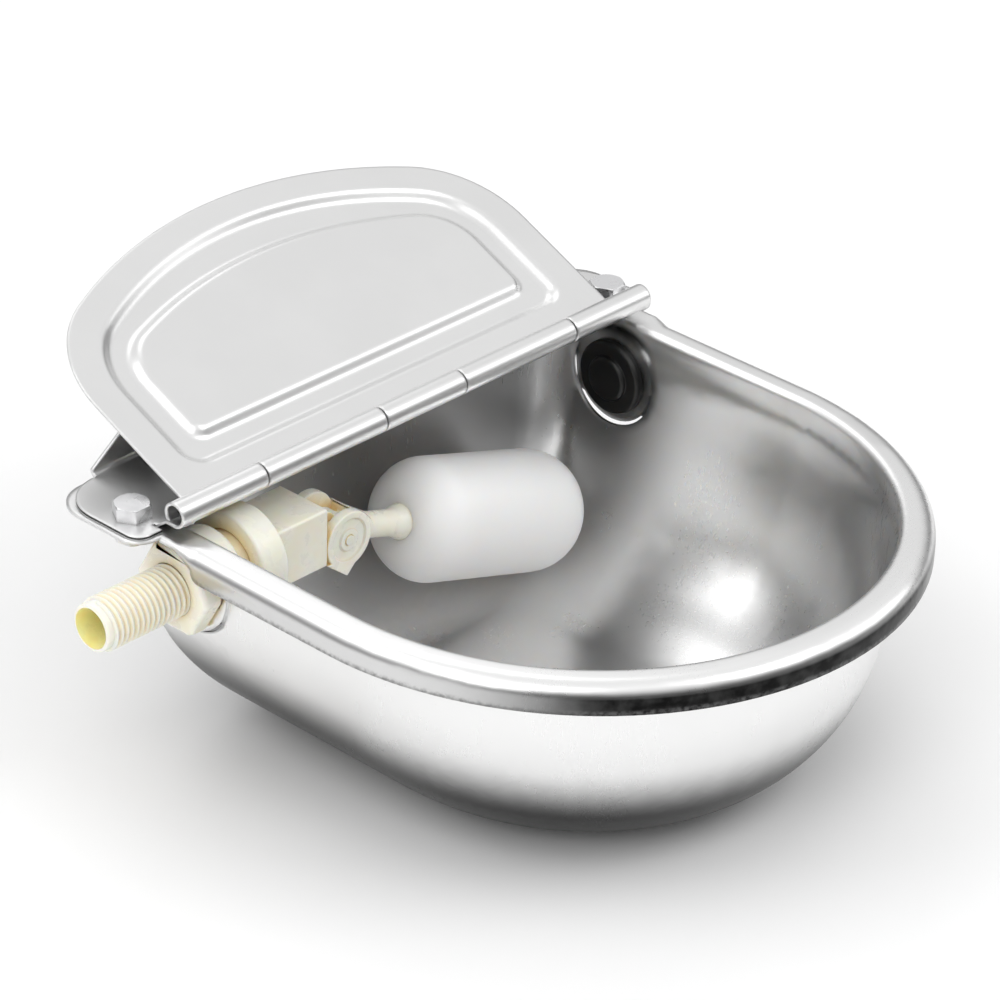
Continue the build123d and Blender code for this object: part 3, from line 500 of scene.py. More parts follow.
@dataclass(frozen=True)
class SkirtFinish(Finish):
    """Sheet with painted dark reflections on its burnished skirt and inner walls, a
    gritty edge, painted shadow round the ports and painted shade on the bottom.

    Places are in millimetres. A fade is two values between which a mark comes in.

    Attributes:
        edge_z: height of the trimmed edge.
        edge_slack: how far below it the marks still go.
        burnish_and_reflection: colour of the burnished skirt below the roll, painted
            near black as a dark reflection.
        reflection_fade: heights over the edge where the burnished band ends.
        reflection_left: where it fades along X to the left.
        left_least: what is left of it there.
        reflection_right: where it fades along X to the right.
        right_least: what is left of it there.
        grit: colour of the grit along the edge.
        grit_fade: heights over the edge where the grit ends.
        inside: painted dark reflection on the walls inside, strongest towards the front
            and back.
        inside_fade: heights where the inside colour comes in.
        inside_ends: distances along Y from the middle where it is full again.
        inside_least: what there is of it at the middle.
        middle_y: the middle's place.
        inward_fade: how much a wall faces inward, in metres.
        step: painted shadow on the steps round the ports, inside, dark enough to hide
            their highlights.
        step_slope: how little a step faces sideways.
        step_fade: distances from a port's middle where its step ends.
        port_x: how far out the ports start.
        port_y: the ports' place towards the wall.
        port_z: their height.
        underside_shade: painted shade on what faces the ground, low on the bowl.
        underside_slope: how much it faces down.
        underside_fade: heights below which it counts.
        skirt_reach: how far out the skirt's outer face starts.
        front_centre_y: the rounded front's centre.
    """

    edge_z: float = 87.6
    edge_slack: float = 0.2
    burnish_and_reflection: Colour = grey(0.008)
    reflection_fade: Span = (10.0, 6.0)
    reflection_left: Span = (-128.0, -90.0)
    left_least: float = 0.25
    reflection_right: Span = (40.0, 120.0)
    right_least: float = 0.45
    grit: Colour = grey(0.2)
    grit_fade: Span = (2.6, 0.6)
    inside: Colour = grey(0.5)
    inside_fade: Span = (96.0, 88.0)
    inside_ends: Span = (20.0, 65.0)
    inside_least: float = 0.1
    middle_y: float = 15.0
    inward_fade: Span = (-0.02, -0.09)
    step: Colour = grey(0.03)
    step_slope: Span = (0.85, 0.6)
    step_fade: Span = (25.0, 20.0)
    port_x: float = 90.0
    port_y: float = 77.0
    port_z: float = 75.0
    underside_shade: Colour = grey(0.02)
    underside_slope: Span = (-0.15, -0.6)
    underside_fade: Span = (65.0, 45.0)
    skirt_reach: float = 128.5
    front_centre_y: float = -8.7

    def paint(self, bench: NodeBench, shelf: EffectShelf, colour: Socket) -> Socket:
        """Paints the skirt's dark reflection, then the inside's dark reflection and
        port shadows, then the shade on what faces the ground.

        Args:
            bench: the material's bench.
            shelf: the shared effects.
            colour: the colour so far.

        Returns:
            The colour with the marks.
        """
        place = bench.parts(bench.place())
        slope = bench.parts(bench.normal())
        colour = self._skirt(bench, shelf, place, colour)
        colour = self._inside(bench, place, slope, colour)
        # Painted shade on faces turned to the ground, low on the bowl, where the
        # shadowed floor is reflected.
        under = bench.spread(slope["Z"], *self.underside_slope)
        low = bench.fade(place["Z"], self.underside_fade)
        return bench.blend(bench.product(under, low), colour, self.underside_shade)

    def _skirt(
        self, bench: NodeBench, shelf: EffectShelf, place: Axes, colour: Socket
    ) -> Socket:
        """Paints a dark reflection on the burnished skirt and grits its trimmed edge.

        Args:
            bench: the material's bench.
            shelf: the shared effects.
            place: the point's place, by axis.
            colour: the colour so far.

        Returns:
            The colour with the band and the grit.
        """
        level = bench.math("SUBTRACT", place["Z"], self.edge_z * MM)
        above = bench.math("GREATER_THAN", level, -self.edge_slack * MM)
        back = bench.math("SUBTRACT", place["Y"], self.front_centre_y * MM)
        away = bench.length(place["X"], bench.math("MINIMUM", back, 0.0))
        outside = bench.math("GREATER_THAN", away, self.skirt_reach * MM)
        # Painted dark reflection on the burnished skirt below the roll, strongest at
        # the front and right.
        mask = bench.product(
            bench.fade(level, self.reflection_fade),
            above,
            outside,
            bench.fade(place["X"], self.reflection_left, self.left_least),
            bench.fade(place["X"], self.reflection_right, 1.0, self.right_least),
            shelf.place(bench, Effect.CLOUDS, **REFLECTION_CLOUDS),
        )
        colour = bench.blend(mask, colour, self.burnish_and_reflection)
        broken = shelf.place(bench, Effect.CLOUDS, **GRIT_CLOUDS)
        edge = bench.fade(level, self.grit_fade)
        edge = bench.product(edge, above, outside, broken)
        return bench.blend(edge, colour, self.grit)

    def _inside(
        self, bench: NodeBench, place: Axes, slope: Axes, colour: Socket
    ) -> Socket:
        """Paints dark reflections on the walls inside and shadow on the steps round the
        ports.

        Args:
            bench: the material's bench.
            place: the point's place, by axis.
            slope: its normal, by axis.
            colour: the colour so far.

        Returns:
            The colour with the painted reflection and shadow.
        """
        ahead = bench.math("SUBTRACT", place["Y"], self.front_centre_y * MM)
        across = bench.product(slope["X"], place["X"])
        inward = bench.math("ADD", across, bench.product(slope["Y"], ahead))
        walls = bench.spread(inward, *self.inward_fade)
        sideways = bench.math("ABSOLUTE", slope["X"])
        # Painted shadow on the steps and flat faces round the ports, over their bright
        # crescents.
        steps = bench.math("MAXIMUM", walls, bench.spread(sideways, *self.step_slope))
        steps = bench.product(steps, self._round_port(bench, place))
        colour = bench.blend(steps, colour, self.step)
        # Painted dark reflection on the walls inside, below the rim and towards the
        # ends.
        below = bench.fade(place["Z"], self.inside_fade)
        middle = bench.math("SUBTRACT", place["Y"], self.middle_y * MM)
        middle = bench.math("ABSOLUTE", middle)
        ends = bench.fade(middle, self.inside_ends, self.inside_least)
        return bench.blend(bench.product(walls, below, ends), colour, self.inside)

    def _round_port(self, bench: NodeBench, place: Axes) -> Socket:
        """A mask of the step round each port, where shadow is painted.

        Args:
            bench: the material's bench.
            place: the point's place, by axis.

        Returns:
            The mask's socket.
        """
        back = bench.math("SUBTRACT", place["Y"], self.port_y * MM)
        rise = bench.math("SUBTRACT", place["Z"], self.port_z * MM)
        near = bench.fade(bench.length(back, rise), self.step_fade)
        out = bench.math("ABSOLUTE", place["X"])
        return bench.product(near, bench.math("GREATER_THAN", out, self.port_x * MM))


SATIN_SHEET = Finish(
    name="satin_sheet",
    colour=(0.79, 0.79, 0.788),
    shade=(0.765, 0.765, 0.763),
    smooth=0.3,
    dull=0.32,
    cloud_scale=25.0,
    grain_scale=900.0,
    draw=(0.12, 1.0, 1.0),
    grain_depth=0.0004,
    metallic=1.0,
    rubbed=grey(0.84),
    speck=(0.8, 0.8, 0.79),
    speck_size=0.015,
    soft_edge=1.6,
)
DRAWN_SHEET = SkirtFinish(
    name="drawn_sheet",
    colour=(0.88, 0.88, 0.878),
    shade=(0.865, 0.865, 0.863),
    smooth=0.28,
    dull=0.3,
    cloud_scale=20.0,
    grain_scale=800.0,
    draw=(1.0, 1.0, 0.15),
    grain_depth=0.0004,
    metallic=1.0,
    rubbed=grey(0.9),
    speck=(0.8, 0.8, 0.79),
    speck_size=0.015,
    soft_edge=2.6,
)
# Painted shadow: near black for the gap under the bracket's ear, laid on the plate's
# thin cut edges.
CUT_EDGE_SHADOW = Finish(
    name="cut_edge_shadow",
    colour=grey(0.06),
    shade=grey(0.03),
    smooth=0.4,
    dull=0.55,
    cloud_scale=120.0,
    grain_scale=1600.0,
    draw=(1.0, 1.0, 0.2),
    grain_depth=0.004,
    metallic=1.0,
    rubbed=grey(0.12),
    speck=grey(0.2),
    soft_edge=0.1,
)
# Painted shade: the hinge pin is near black, for the shade inside the knuckle's bore.
SHADED_ROD = Finish(
    name="shaded_rod",
    colour=grey(0.16),
    shade=grey(0.08),
    smooth=0.3,
    dull=0.45,
    cloud_scale=220.0,
    grain_scale=1400.0,
    draw=(0.1, 1.0, 1.0),
    grain_depth=0.01,
    metallic=1.0,
    rubbed=grey(0.3),
    speck=grey(0.1),
    hollow_shade=grey(0.05),
)
ZINC_PLATE = Finish(
    name="zinc_plate",
    colour=(0.8, 0.8, 0.81),
    shade=(0.7, 0.7, 0.71),
    smooth=0.26,
    dull=0.46,
    cloud_scale=90.0,
    grain_scale=1600.0,
    draw=(1.0, 1.0, 0.3),
    grain_depth=0.0005,
    metallic=1.0,
    rubbed=grey(0.84),
    speck=grey(0.2),
    speck_size=0.02,
    # Painted shade: near black in the gaps round the fasteners.
    hollow_shade=grey(0.05),
    hollow_shade_reach=2.5,
    soft_edge=0.15,
)
IVORY_PLASTIC = Finish(
    name="ivory_plastic",
    colour=(0.99, 0.955, 0.85),
    shade=(0.985, 0.93, 0.77),
    smooth=0.24,
    dull=0.36,
    cloud_scale=90.0,
    grain_scale=2200.0,
    grain_depth=0.004,
    rubbed=(0.985, 0.95, 0.85),
    speck=(0.62, 0.5, 0.3),
    speck_size=0.04,
    glow_weight=0.5,
    glow_reach=(4.0, 2.6, 1.2),
    coat=0.1,
    # Painted shade: amber where shade falls in the plastic's hollows.
    hollow_shade=(0.9, 0.7, 0.36),
    hollow_shade_reach=7.0,
)
GOLDEN_BORE = Finish(
    name="golden_bore",
    colour=(0.99, 0.92, 0.5),
    shade=(0.98, 0.86, 0.38),
    smooth=0.25,
    dull=0.35,
    cloud_scale=160.0,
    grain_scale=2000.0,
    grain_depth=0.006,
    rubbed=(0.9, 0.72, 0.3),
    speck=(0.7, 0.42, 0.1),
    speck_size=0.06,
    glow_weight=0.5,
    glow_reach=(5.0, 2.5, 0.5),
    # Painted shade: amber in the bore's hollows.
    hollow_shade=(0.9, 0.75, 0.3),
    hollow_shade_reach=6.0,
)
MILKY_FLOAT = Finish(
    name="milky_float",
    colour=(0.985, 0.98, 0.965),
    shade=(0.975, 0.97, 0.95),
    smooth=0.3,
    dull=0.42,
    cloud_scale=45.0,
    grain_scale=1500.0,
    grain_depth=0.004,
    rubbed=(0.88, 0.88, 0.85),
    speck=(0.66, 0.64, 0.56),
    speck_size=0.03,
    glow_weight=0.9,
    glow_reach=(16.0, 14.0, 12.0),
)
BLACK_RUBBER = Finish(
    name="black_rubber",
    colour=grey(0.006),
    shade=grey(0.004),
    smooth=0.32,
    dull=0.42,
    cloud_scale=150.0,
    grain_scale=1800.0,
    grain_depth=0.006,
    rubbed=grey(0.015),
    speck=grey(0.03),
    speck_size=0.03,
    hollow_shade=grey(0.004),
)


class PaintRack:
    """Makes each finish's material once."""

    def __init__(self) -> None:
        """Starts with the shared effects and no materials."""
        self.shelf = EffectShelf()
        self.made: dict[str, bpy.types.Material] = {}

    def get(self, finish: Finish) -> bpy.types.Material:
        """Finds or makes a finish's material.

        Args:
            finish: the finish.

        Returns:
            Its material.
        """
        if finish.name not in self.made:
            self.made[finish.name] = finish.make(self.shelf)
        return self.made[finish.name]


@dataclass
class Workshop:
    """Turns meshes into finished pieces that ride on their bodies.

    Attributes:
        nodes: the frame's solid nodes by name.
        paints: the materials.
        sharp_edge: the least angle that softening rounds, in degrees.
    """

    nodes: dict[str, bpy.types.Object]
    paints: PaintRack = field(default_factory=PaintRack)
    sharp_edge: float = 50.0

    def dress(self, node: str, finish: Finish) -> None:
        """Gives a solid node a finish.

        Args:
            node: the node's name.
            finish: the finish.
        """
        mesh = self.nodes[node].data
        mesh.materials.clear()
        mesh.materials.append(self.paints.get(finish))
        LOG.info("%s keeps its solid, finish %s", node, finish.name)

    def piece(
        self,
        name: str,
        shape: Shape,
        body: Body,
        slot: Slot,
        finishes: list[Finish],
        stands_for: tuple[str, ...] = (),
    ) -> None:
        """Makes a mesh into a finished piece and frees the mesh.

        Args:
            name: the piece's name.
            shape: its mesh, in metres, in place.
            body: what it rides on.
            slot: the material slot it belongs to; not used.
            finishes: its finishes, in the order of the faces' material numbers.
            stands_for: the solid nodes that it replaces.
        """
        mesh = bpy.data.meshes.new(name)
        for face in shape.faces:
            face.smooth = True
        shape.to_mesh(mesh)
        shape.free()
        mesh.set_sharp_from_angle(angle=SHARP)
        for finish in finishes:
            mesh.materials.append(self.paints.get(finish))
        made = bpy.data.objects.new(name, mesh)
        bpy.context.scene.collection.objects.link(made)
        even = made.modifiers.new("even_normals", "WEIGHTED_NORMAL")
        even.keep_sharp = True
        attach(made, body.value)
        if stands_for:
            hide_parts(*stands_for)
        LOG.info("%s rides on %s, %d faces", name, body.value, len(mesh.polygons))

    def copy_of(self, node: str, flats: bool = True) -> Shape:
        """Copies a solid node's mesh, with the corners of its triangles merged.

        Args:
            node: the node's name.
            flats: joins the triangles of each flat face.

        Returns:
            The copy.
        """
        shape = bmesh.new()
        shape.from_mesh(self.nodes[node].data)
        bmesh.ops.remove_doubles(shape, verts=shape.verts, dist=MERGE)
        bmesh.ops.dissolve_degenerate(shape, dist=MERGE, edges=shape.edges)
        if flats:
            bmesh.ops.dissolve_limit(
                shape, angle_limit=FLAT, verts=shape.verts, edges=shape.edges
            )
        return shape

    def softened(self, node: str, width: float) -> Shape:
        """Copies a solid node's mesh and rounds its sharp edges.

        Args:
            node: the node's name.
            width: the rounding's width, in millimetres.

        Returns:
            The rounded copy.
        """
        shape = self.copy_of(node)
        round_edges(shape, width, self.sharp_edge)
        return shape


def round_edges(
    shape: Shape,
    width: float,
    low: float,
    high: float = 180.0,
    segments: int = 2,
    test: Callable[[Vector], bool] | None = None,
) -> None:
    """Rounds the edges whose faces meet at an angle in a range.

    Args:
        shape: the mesh.
        width: the rounding's width, in millimetres.
        low: the least angle, in degrees.
        high: the largest angle, in degrees.
        segments: how many faces go round the edge.
        test: keeps only the edges whose middle passes it, or None for all.
    """
    chosen = []
    for edge in shape.edges:
        if not edge.is_manifold:
            continue
        angle = math.degrees(edge.calc_face_angle(0.0))
        middle = (edge.verts[0].co + edge.verts[1].co) / 2
        if low <= angle <= high and (test is None or test(middle)):
            chosen.append(edge)
    bmesh.ops.bevel(
        shape,
        geom=chosen,
        offset=width * MM,
        offset_type="OFFSET",
        segments=segments,
        profile=0.5,
        affect="EDGES",
        material=-1,
        clamp_overlap=False,
        loop_slide=True,
    )


@dataclass
class PortAxis:
    """The line along X that the inlet, the valve and the plug are turned on.

    Attributes:
        y: its place towards the wall, in millimetres.
        z: its height.
        steps: how many flats go round a full turn.
        ridge: where a thread's foot and top start and end, as shares of its pitch.
    """

    y: float = 77.0
    z: float = 75.0
    steps: int = 96
    ridge: tuple[float, float, float, float] = (0.0, 0.36, 0.52, 0.88)

    def turned(self, profile: list[Span], closed: bool = True) -> Shape:
        """Turns a profile right round the axis.

        Args:
            profile: (x, radius) pairs, in millimetres.
            closed: joins the last point to the first.

        Returns:
            The turned mesh.
        """
        return self._spun(profile, closed, 1.0, self.steps)

    def threaded(
        self, start: float, length: float, root: float, crest: float, pitch: float
    ) -> Shape:
        """Winds a thread's ridge round the axis.

        Args:
            start: where it starts along X, in millimetres.
            length: how far it runs.
            root: radius at its foot.
            crest: radius at its top.
            pitch: the distance from turn to turn.

        Returns:
            The ridge.
        """
        corners = zip(self.ridge, (root, crest, crest, root))
        profile = [(start + share * pitch, out) for share, out in corners]
        turns = length / pitch - 1.0
        steps = int(turns * self.steps / 2)
        return self._spun(profile, False, turns, steps, pitch * turns / steps * MM)

    def _spun(
        self,
        profile: list[Span],
        closed: bool,
        turns: float,
        steps: int,
        rise: float = 0.0,
    ) -> Shape:
        """Spins a profile round the axis.

        Args:
            profile: (x, radius) pairs, in millimetres.
            closed: joins the last point to the first.
            turns: how often it goes round.
            steps: how many steps that takes.
            rise: how far it moves along X at each step, in metres.

        Returns:
            The spun mesh, with its ends merged where nothing rises.
        """
        level = rise == 0.0
        shape = bmesh.new()
        points = [shape.verts.new((x * MM, 0.0, out * MM)) for x, out in profile]
        pairs = list(zip(points, points[1:]))
        if closed:
            pairs.append((points[-1], points[0]))
        edges = [shape.edges.new(pair) for pair in pairs]
        bmesh.ops.spin(
            shape,
            geom=points + edges,
            cent=(0.0, 0.0, 0.0),
            axis=(1.0, 0.0, 0.0),
            dvec=(rise, 0.0, 0.0),
            angle=math.tau * turns,
            steps=steps,
            use_merge=level,
            use_duplicate=False,
        )
        if level:
            bmesh.ops.remove_doubles(shape, verts=shape.verts, dist=MERGE)
        bmesh.ops.recalc_face_normals(shape, faces=shape.faces)
        move = Vector((0.0, self.y * MM, self.z * MM))
        bmesh.ops.translate(shape, verts=shape.verts, vec=move)
        return shape


@dataclass
class Lamp:
    """A square soft box.

    Attributes:
        name: its name.
        place: where it stands, in metres.
        size: its side, in metres.
        watts: its power.
    """

    name: str
    place: Point
    size: float
    watts: float

    def hang(self, aim: Vector) -> None:
        """Hangs the lamp and points it.

        Args:
            aim: the point that it faces.
        """
        data = bpy.data.lights.new(self.name, "AREA")
        data.size = self.size
        data.energy = self.watts
        lamp = bpy.data.objects.new(self.name, data)
        lamp.location = self.place
        line = aim - Vector(self.place)
        lamp.rotation_euler = line.to_track_quat("-Z", "Y").to_euler()
        bpy.context.scene.collection.objects.link(lamp)


@dataclass
class Studio:
    """The camera, the lamps, the pale floor and the white surround.

    Attributes:
        eye: the camera's place, in metres.
        right: the camera's X axis.
        up: the camera's Y axis.
        back: the camera's Z axis.
        lens: its focal length, in millimetres.
        sensor: its sensor's width, in millimetres.
        floor_half: half the floor's side, in metres.
        floor_grey: the floor's own colour.
        sky_fade: sines of the heights between which the surround brightens.
        low_sky: the surround's strength at the horizon.
        high_sky: its strength overhead.
        aim: where the lamps point.
        lamps: the soft boxes.
    """

    eye: Point = (-1.0718, -0.9442, 0.9053)
    right: Point = (0.6851, -0.7278, 0.0297)
    up: Point = (0.3421, 0.3575, 0.8690)
    back: Point = (-0.6431, -0.5852, 0.4939)
    lens: float = 160.65
    sensor: float = 36.0
    floor_half: float = 12.0
    floor_grey: float = 0.93
    sky_fade: Span = (0.05, 0.6)
    low_sky: float = 0.08
    high_sky: float = 0.92
    aim: Point = (0.0, 0.0, 0.07)
    lamps: list[Lamp] = field(
        default_factory=lambda: [
            Lamp("left_box", (-1.2, 0.84, 1.7), 1.2, 7.0),
            Lamp("key_box", (-1.28, -0.74, 1.7), 1.0, 3.5),
            Lamp("front_box", (0.74, -1.28, 1.7), 1.0, 8.0),
            Lamp("back_box", (0.74, 1.28, 1.7), 1.0, 3.0),
            Lamp("side_box", (1.77, -1.02, 0.9), 1.0, 4.0),
            Lamp("low_box", (-1.95, -0.4, 1.15), 1.0, 5.5),
        ]
    )

    def build(self) -> None:
        """Sets up everything that isn't the object."""
        bpy.context.scene.view_settings.view_transform = "Standard"
        self._camera()
        self._world()
        self._floor()
        for lamp in self.lamps:
            lamp.hang(Vector(self.aim))

    def _camera(self) -> None:
        """Places the camera."""
        data = bpy.data.cameras.new("studio_camera")
        data.lens = self.lens
        data.sensor_width = self.sensor
        camera = bpy.data.objects.new("studio_camera", data)
        turn = Matrix((self.right, self.up, self.back)).transposed()
        camera.matrix_world = Matrix.Translation(self.eye) @ turn.to_4x4()
        bpy.context.scene.collection.objects.link(camera)
        bpy.context.scene.camera = camera

    def _world(self) -> None:
        """Makes the surround pale, brighter overhead than at the horizon."""
        world = bpy.data.worlds.new("pale_surround")
        bpy.context.scene.world = world
        world.use_nodes = True
        bench = NodeBench(world.node_tree)
        bench.tree.nodes.clear()
        direction = bench.parts(bench.add("ShaderNodeTexCoord").outputs["Generated"])
        ends = (self.low_sky, self.high_sky)
        level = bench.spread(direction["Z"], *self.sky_fade, *ends)
        light = bench.add("ShaderNodeBackground")
        bench.feed(light.inputs["Color"], grey(1.0))
        bench.feed(light.inputs["Strength"], level)
        result = bench.add("ShaderNodeOutputWorld")
        bench.feed(result.inputs["Surface"], light.outputs[0])

    def _floor(self) -> None:
        """Lays the matt, pale floor."""
        shape = bmesh.new()
        bmesh.ops.create_grid(shape, x_segments=2, y_segments=2, size=self.floor_half)
        mesh = bpy.data.meshes.new("studio_floor")
        shape.to_mesh(mesh)
        shape.free()
        material = bpy.data.materials.new("pale_floor")
        material.use_nodes = True
        bench = NodeBench(material.node_tree)
        bench.tree.nodes.clear()
        matt = bench.add("ShaderNodeBsdfDiffuse")
        bench.feed(matt.inputs["Color"], grey(self.floor_grey))
        result = bench.add("ShaderNodeOutputMaterial")
        bench.feed(result.inputs["Surface"], matt.outputs[0])
        mesh.materials.append(material)
        floor = bpy.data.objects.new("studio_floor", mesh)
        bpy.context.scene.collection.objects.link(floor)


@dataclass
class SteelBowl:
    """The drawn bowl with its rolled rim and flange.

    Attributes:
        shop: the workshop.
    """

    shop: Workshop

    def build(self) -> None:
        """Builds the bowl."""
        node = "bowl_shell"
        shape = self.shop.copy_of(node, flats=False)
        self.shop.piece(
            "drawn_bowl", shape, Body.BOWL, Slot.SHEET, [DRAWN_SHEET], (node,)
        )


@dataclass
class HingedLid:
    """The lid, the hinge bracket, the pin and the bolts.

    Attributes:
        shop: the workshop.
        crease_width: rounding of the pressed groove's creases, in millimetres.
        crease_steps: how many faces go round a crease.
        trim_width: rounding of the sheet's cut edges.
        gentle: the least angle of a crease, in degrees.
        steep: angle between a crease and a cut edge, in degrees.
        plate_top: just above the bracket's flat plate, in millimetres.
        edge_on: a cut edge's normal has less Z than this.
    """

    shop: Workshop
    crease_width: float = 1.2
    crease_steps: int = 3
    trim_width: float = 0.25
    gentle: float = 30.0
    steep: float = 60.0
    plate_top: float = 100.35
    edge_on: float = 0.3

    def build(self) -> None:
        """Builds the lid, the bracket and the fasteners."""
        lid = self.shop.copy_of("lid")
        round_edges(
            lid, self.crease_width, self.gentle, self.steep, segments=self.crease_steps
        )
        round_edges(lid, self.trim_width, self.steep)
        self.shop.piece(
            "pressed_lid", lid, Body.LID, Slot.SHEET, [SATIN_SHEET], ("lid",)
        )
        bracket = self.shop.softened("hinge_bracket", self.trim_width)
        # Painted shadow: the plate's thin cut edges take the near-black finish for the
        # gap beneath the ear.
        for face in bracket.faces:
            top = max(vert.co.z for vert in face.verts)
            if abs(face.normal.z) < self.edge_on and top < self.plate_top * MM:
                face.material_index = 1
        self.shop.piece(
            "bent_bracket",
            bracket,
            Body.BOWL,
            Slot.SHEET,
            [SATIN_SHEET, CUT_EDGE_SHADOW],
            ("hinge_bracket",),
        )
        # The pin's near-black finish is painted shade in the bore.
        self.shop.dress("hinge_pin", SHADED_ROD)
        turned = (("bracket_bolts", "hex_bolts"), ("bracket_nuts", "hex_nuts"))
        for node, name in turned:
            shape = self.shop.copy_of(node)
            self.shop.piece(name, shape, Body.BOWL, Slot.ZINC, [ZINC_PLATE], (node,))
        node = "bracket_washers"
        washers = self.shop.softened(node, self.trim_width)
        self.shop.piece(
            "flat_washers", washers, Body.BOWL, Slot.ZINC, [ZINC_PLATE], (node,)
        )


@dataclass
class InletFitting:
    """The threaded spigot with its lock nut and gasket, in millimetres.

    Attributes:
        shop: the workshop.
        axis: the line it is turned on.
        end_x: the open end.
        lead: length of the plain lead end before the thread.
        nut_x: the lock nut's outer face.
        run_in: how far the thread runs into the nut.
        flange_x: the flange's face against the gasket.
        neck_x: the flange's inner face.
        collar_x: start of the end collar.
        socket_x: the spigot's inner end.
        socket_step: how far the socket's ledge lies past it.
        flange: radius of the flange.
        flange_round: how far back and how far in each point of its rounding lies.
        neck: radius of the neck.
        collar: radius of the collar.
        socket: radius at the inner end.
        root: radius at the thread's foot.
        crest: radius at the thread's top.
        sink: how deep the ridge's foot is sunk in the shank.
        skin: how far its top stays inside the crest.
        pitch: distance from turn to turn.
        lead_round: how far along and how far in each point of the lead end lies.
        bore: radius of the bore.
        mouth: radius of the bore's mouth.
        mouth_depth: how deep the mouth tapers.
        nut_width: rounding of the lock nut's edges.
        nut_steps: how many faces go round such an edge.
        nut_clear: how far outside the thread the rounding starts.
    """

    shop: Workshop
    axis: PortAxis
    end_x: float = -164.0
    lead: float = 2.2
    nut_x: float = -125.0
    run_in: float = 2.0
    flange_x: float = -113.0
    neck_x: float = -103.0
    collar_x: float = -94.0
    socket_x: float = -91.0
    socket_step: float = 1.0
    flange: float = 18.4
    flange_round: tuple[Span, ...] = ((3.0, 0.0), (1.5, 0.4), (0.4, 1.5), (0.0, 3.0))
    neck: float = 13.0
    collar: float = 15.5
    socket: float = 10.0
    root: float = 9.4
    crest: float = 10.4775
    sink: float = 0.15
    skin: float = 0.02
    pitch: float = 2.5
    lead_round: tuple[Span, ...] = ((0.0, 0.9), (0.5, 0.2), (1.4, 0.0))
    bore: float = 6.6
    mouth: float = 8.0
    mouth_depth: float = 6.0
    nut_width: float = 2.2
    nut_steps: int = 4
    nut_clear: float = 2.0

    def build(self) -> None:
        """Builds the spigot, its thread, the lock nut and the gasket."""
        self._spigot()
        start = self.end_x + self.lead
        thread = self.axis.threaded(
            start,
            self.nut_x + self.run_in - start,
            self.root - self.sink,
            self.crest - self.skin,
            self.pitch,
        )
        self.shop.piece("pipe_thread", thread, Body.BOWL, Slot.IVORY, [IVORY_PLASTIC])
        node = "outer_lock_nut"
        nut = self.shop.copy_of(node)
        round_edges(
            nut,
            self.nut_width,
            self.shop.sharp_edge,
            segments=self.nut_steps,
            test=self._outside,
        )
        self.shop.piece(
            "lock_nut", nut, Body.BOWL, Slot.IVORY, [IVORY_PLASTIC], (node,)
        )
        self.shop.dress("wall_gasket", BLACK_RUBBER)

    def _outside(self, at: Vector) -> bool:
        """Whether a point, in metres, lies well outside the thread."""
        away = math.hypot(at.y / MM - self.axis.y, at.z / MM - self.axis.z)
        return away > self.crest + self.nut_clear

    def _spigot(self) -> None:
        """Builds the spigot's body, golden inside its bore."""
        ledge = self.socket_x - self.socket_step
        lead = [(self.end_x + far, self.root - cut) for far, cut in self.lead_round]
        rim = [(self.neck_x - far, self.flange - cut) for far, cut in self.flange_round]
        outside = [
            (self.end_x, self.mouth),
            *lead,
            (self.flange_x, self.root),
            (self.flange_x, self.flange),
            *rim,
            (self.neck_x, self.neck),
            (self.collar_x, self.neck),
            (self.collar_x, self.collar),
            (self.socket_x, self.collar),
            (self.socket_x, self.socket),
            (ledge, self.socket),
            (ledge, self.bore),
            (self.end_x + self.mouth_depth, self.bore),
        ]
        shape = self.axis.turned(outside)
        centre = Vector((0.0, self.axis.y * MM, self.axis.z * MM))
        for face in shape.faces:
            away = face.calc_center_median() - centre
            if Vector((0.0, away.y, away.z)).length < self.mouth * MM:
                face.material_index = 1
        self.shop.piece(
            "spigot_body",
            shape,
            Body.BOWL,
            Slot.IVORY,
            [IVORY_PLASTIC, GOLDEN_BORE],
            ("inlet_spigot",),
        )


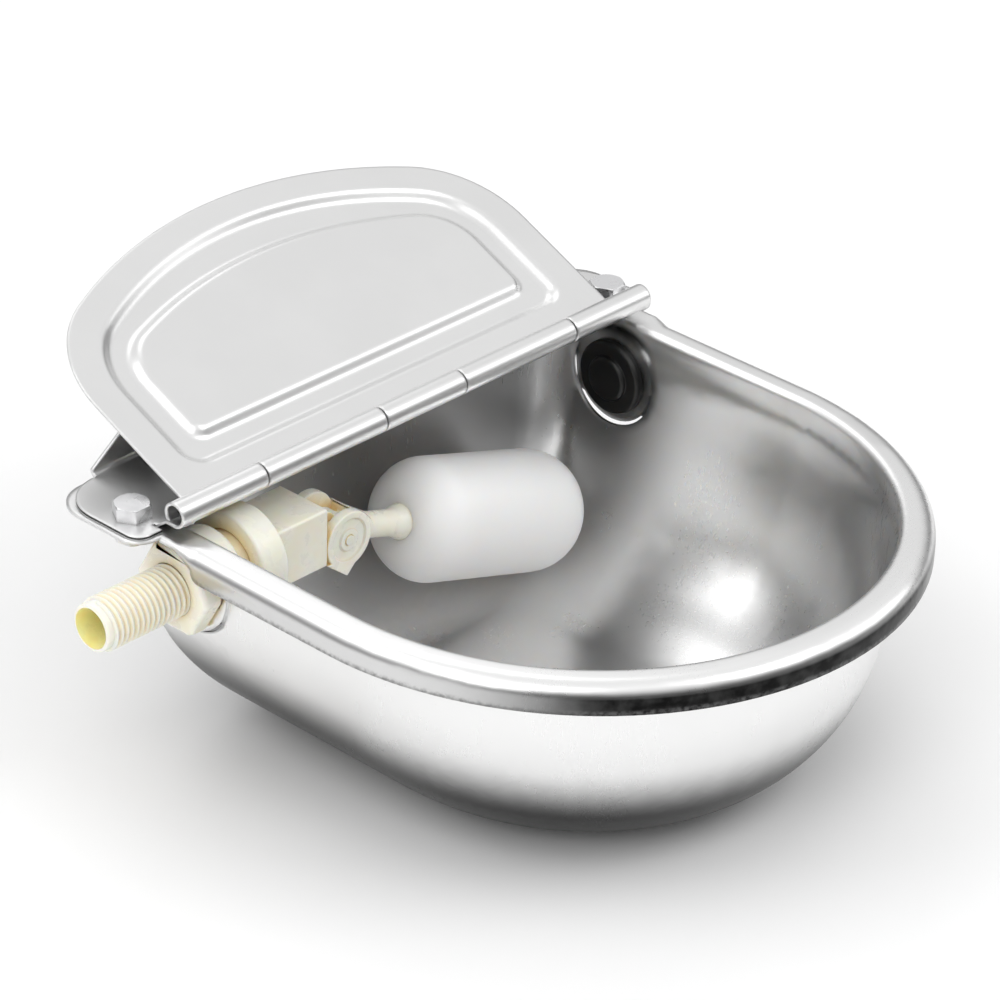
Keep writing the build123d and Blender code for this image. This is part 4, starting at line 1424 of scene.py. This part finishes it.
@dataclass
class FloatValve:
    """The union ring, the valve block, the plunger, the lever and the float.

    Attributes:
        shop: the workshop.
        edge_width: rounding of the moulded edges, in millimetres.
        pivot: the lever's pivot.
        arm_drop: how far the arm hangs below level, in degrees.
        float_start: where the float starts along the arm.
        float_length: the float's length.
        float_radius: its radius.
        near_round: rounding of its near end.
        far_round: rounding of its far end.
        round_steps: how many faces go round each end.
        rim_angle: the least angle of an end's rim, in degrees.
    """

    shop: Workshop
    edge_width: float = 0.5
    pivot: Point = (-45.5, 77.0, 69.0)
    arm_drop: float = 18.0
    float_start: float = 41.0
    float_length: float = 96.0
    float_radius: float = 24.5
    near_round: float = 15.0
    far_round: float = 21.5
    round_steps: int = 12
    rim_angle: float = 80.0

    def build(self) -> None:
        """Builds the moulded pieces and dresses the small ones."""
        moulded = (
            ("union_ring", "grip_ring", Body.BOWL),
            ("float_lever", "moulded_lever", Body.ARM),
        )
        for node, name, body in moulded:
            shape = self.shop.softened(node, self.edge_width)
            self.shop.piece(name, shape, body, Slot.IVORY, [IVORY_PLASTIC], (node,))
        self._float()
        for node in ("valve_block", "seat_nozzle", "plunger", "pivot_pin"):
            self.shop.dress(node, IVORY_PLASTIC)
        for node in ("plunger_seal", "nozzle_seal"):
            self.shop.dress(node, BLACK_RUBBER)

    def _float(self) -> None:
        """Builds the float: a turned barrel with rounded ends, laid along the arm."""
        start = self.float_start
        end = start + self.float_length
        radius = self.float_radius
        profile = [(start, 0.0), (start, radius), (end, radius), (end, 0.0)]
        shape = PortAxis(y=0.0, z=0.0).turned(profile, closed=False)
        middle = (start + end) / 2 * MM
        for width, near in ((self.far_round, False), (self.near_round, True)):
            round_edges(
                shape,
                width,
                self.rim_angle,
                segments=self.round_steps,
                test=lambda at: (at.x < middle) == near,
            )
        turn = Matrix.Rotation(math.radians(self.arm_drop), 4, "Y")
        place = Matrix.Translation(Vector(self.pivot) * MM)
        bmesh.ops.transform(shape, matrix=place @ turn, verts=shape.verts)
        self.shop.piece(
            "blown_float", shape, Body.ARM, Slot.MILKY, [MILKY_FLOAT], ("float_bulb",)
        )


@dataclass
class SidePlug:
    """The rubber plug in the unused port.

    Attributes:
        shop: the workshop.
        edge_width: rounding of its moulded edges, in millimetres.
    """

    shop: Workshop
    edge_width: float = 0.3

    def build(self) -> None:
        """Builds the plug."""
        node = "side_plug"
        plug = self.shop.softened(node, self.edge_width)
        self.shop.piece(
            "moulded_plug", plug, Body.BOWL, Slot.RUBBER, [BLACK_RUBBER], (node,)
        )


def main() -> None:
    """Builds the studio and every sub-assembly round the fixed frame."""
    logging.basicConfig(level=logging.INFO, format="%(name)s: %(message)s")
    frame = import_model()
    Studio().build()
    shop = Workshop(frame["nodes"])
    axis = PortAxis()
    for part in (
        SteelBowl(shop),
        HingedLid(shop),
        InletFitting(shop, axis),
        FloatValve(shop),
        SidePlug(shop),
    ):
        part.build()


if __name__ == "__main__":
    main()
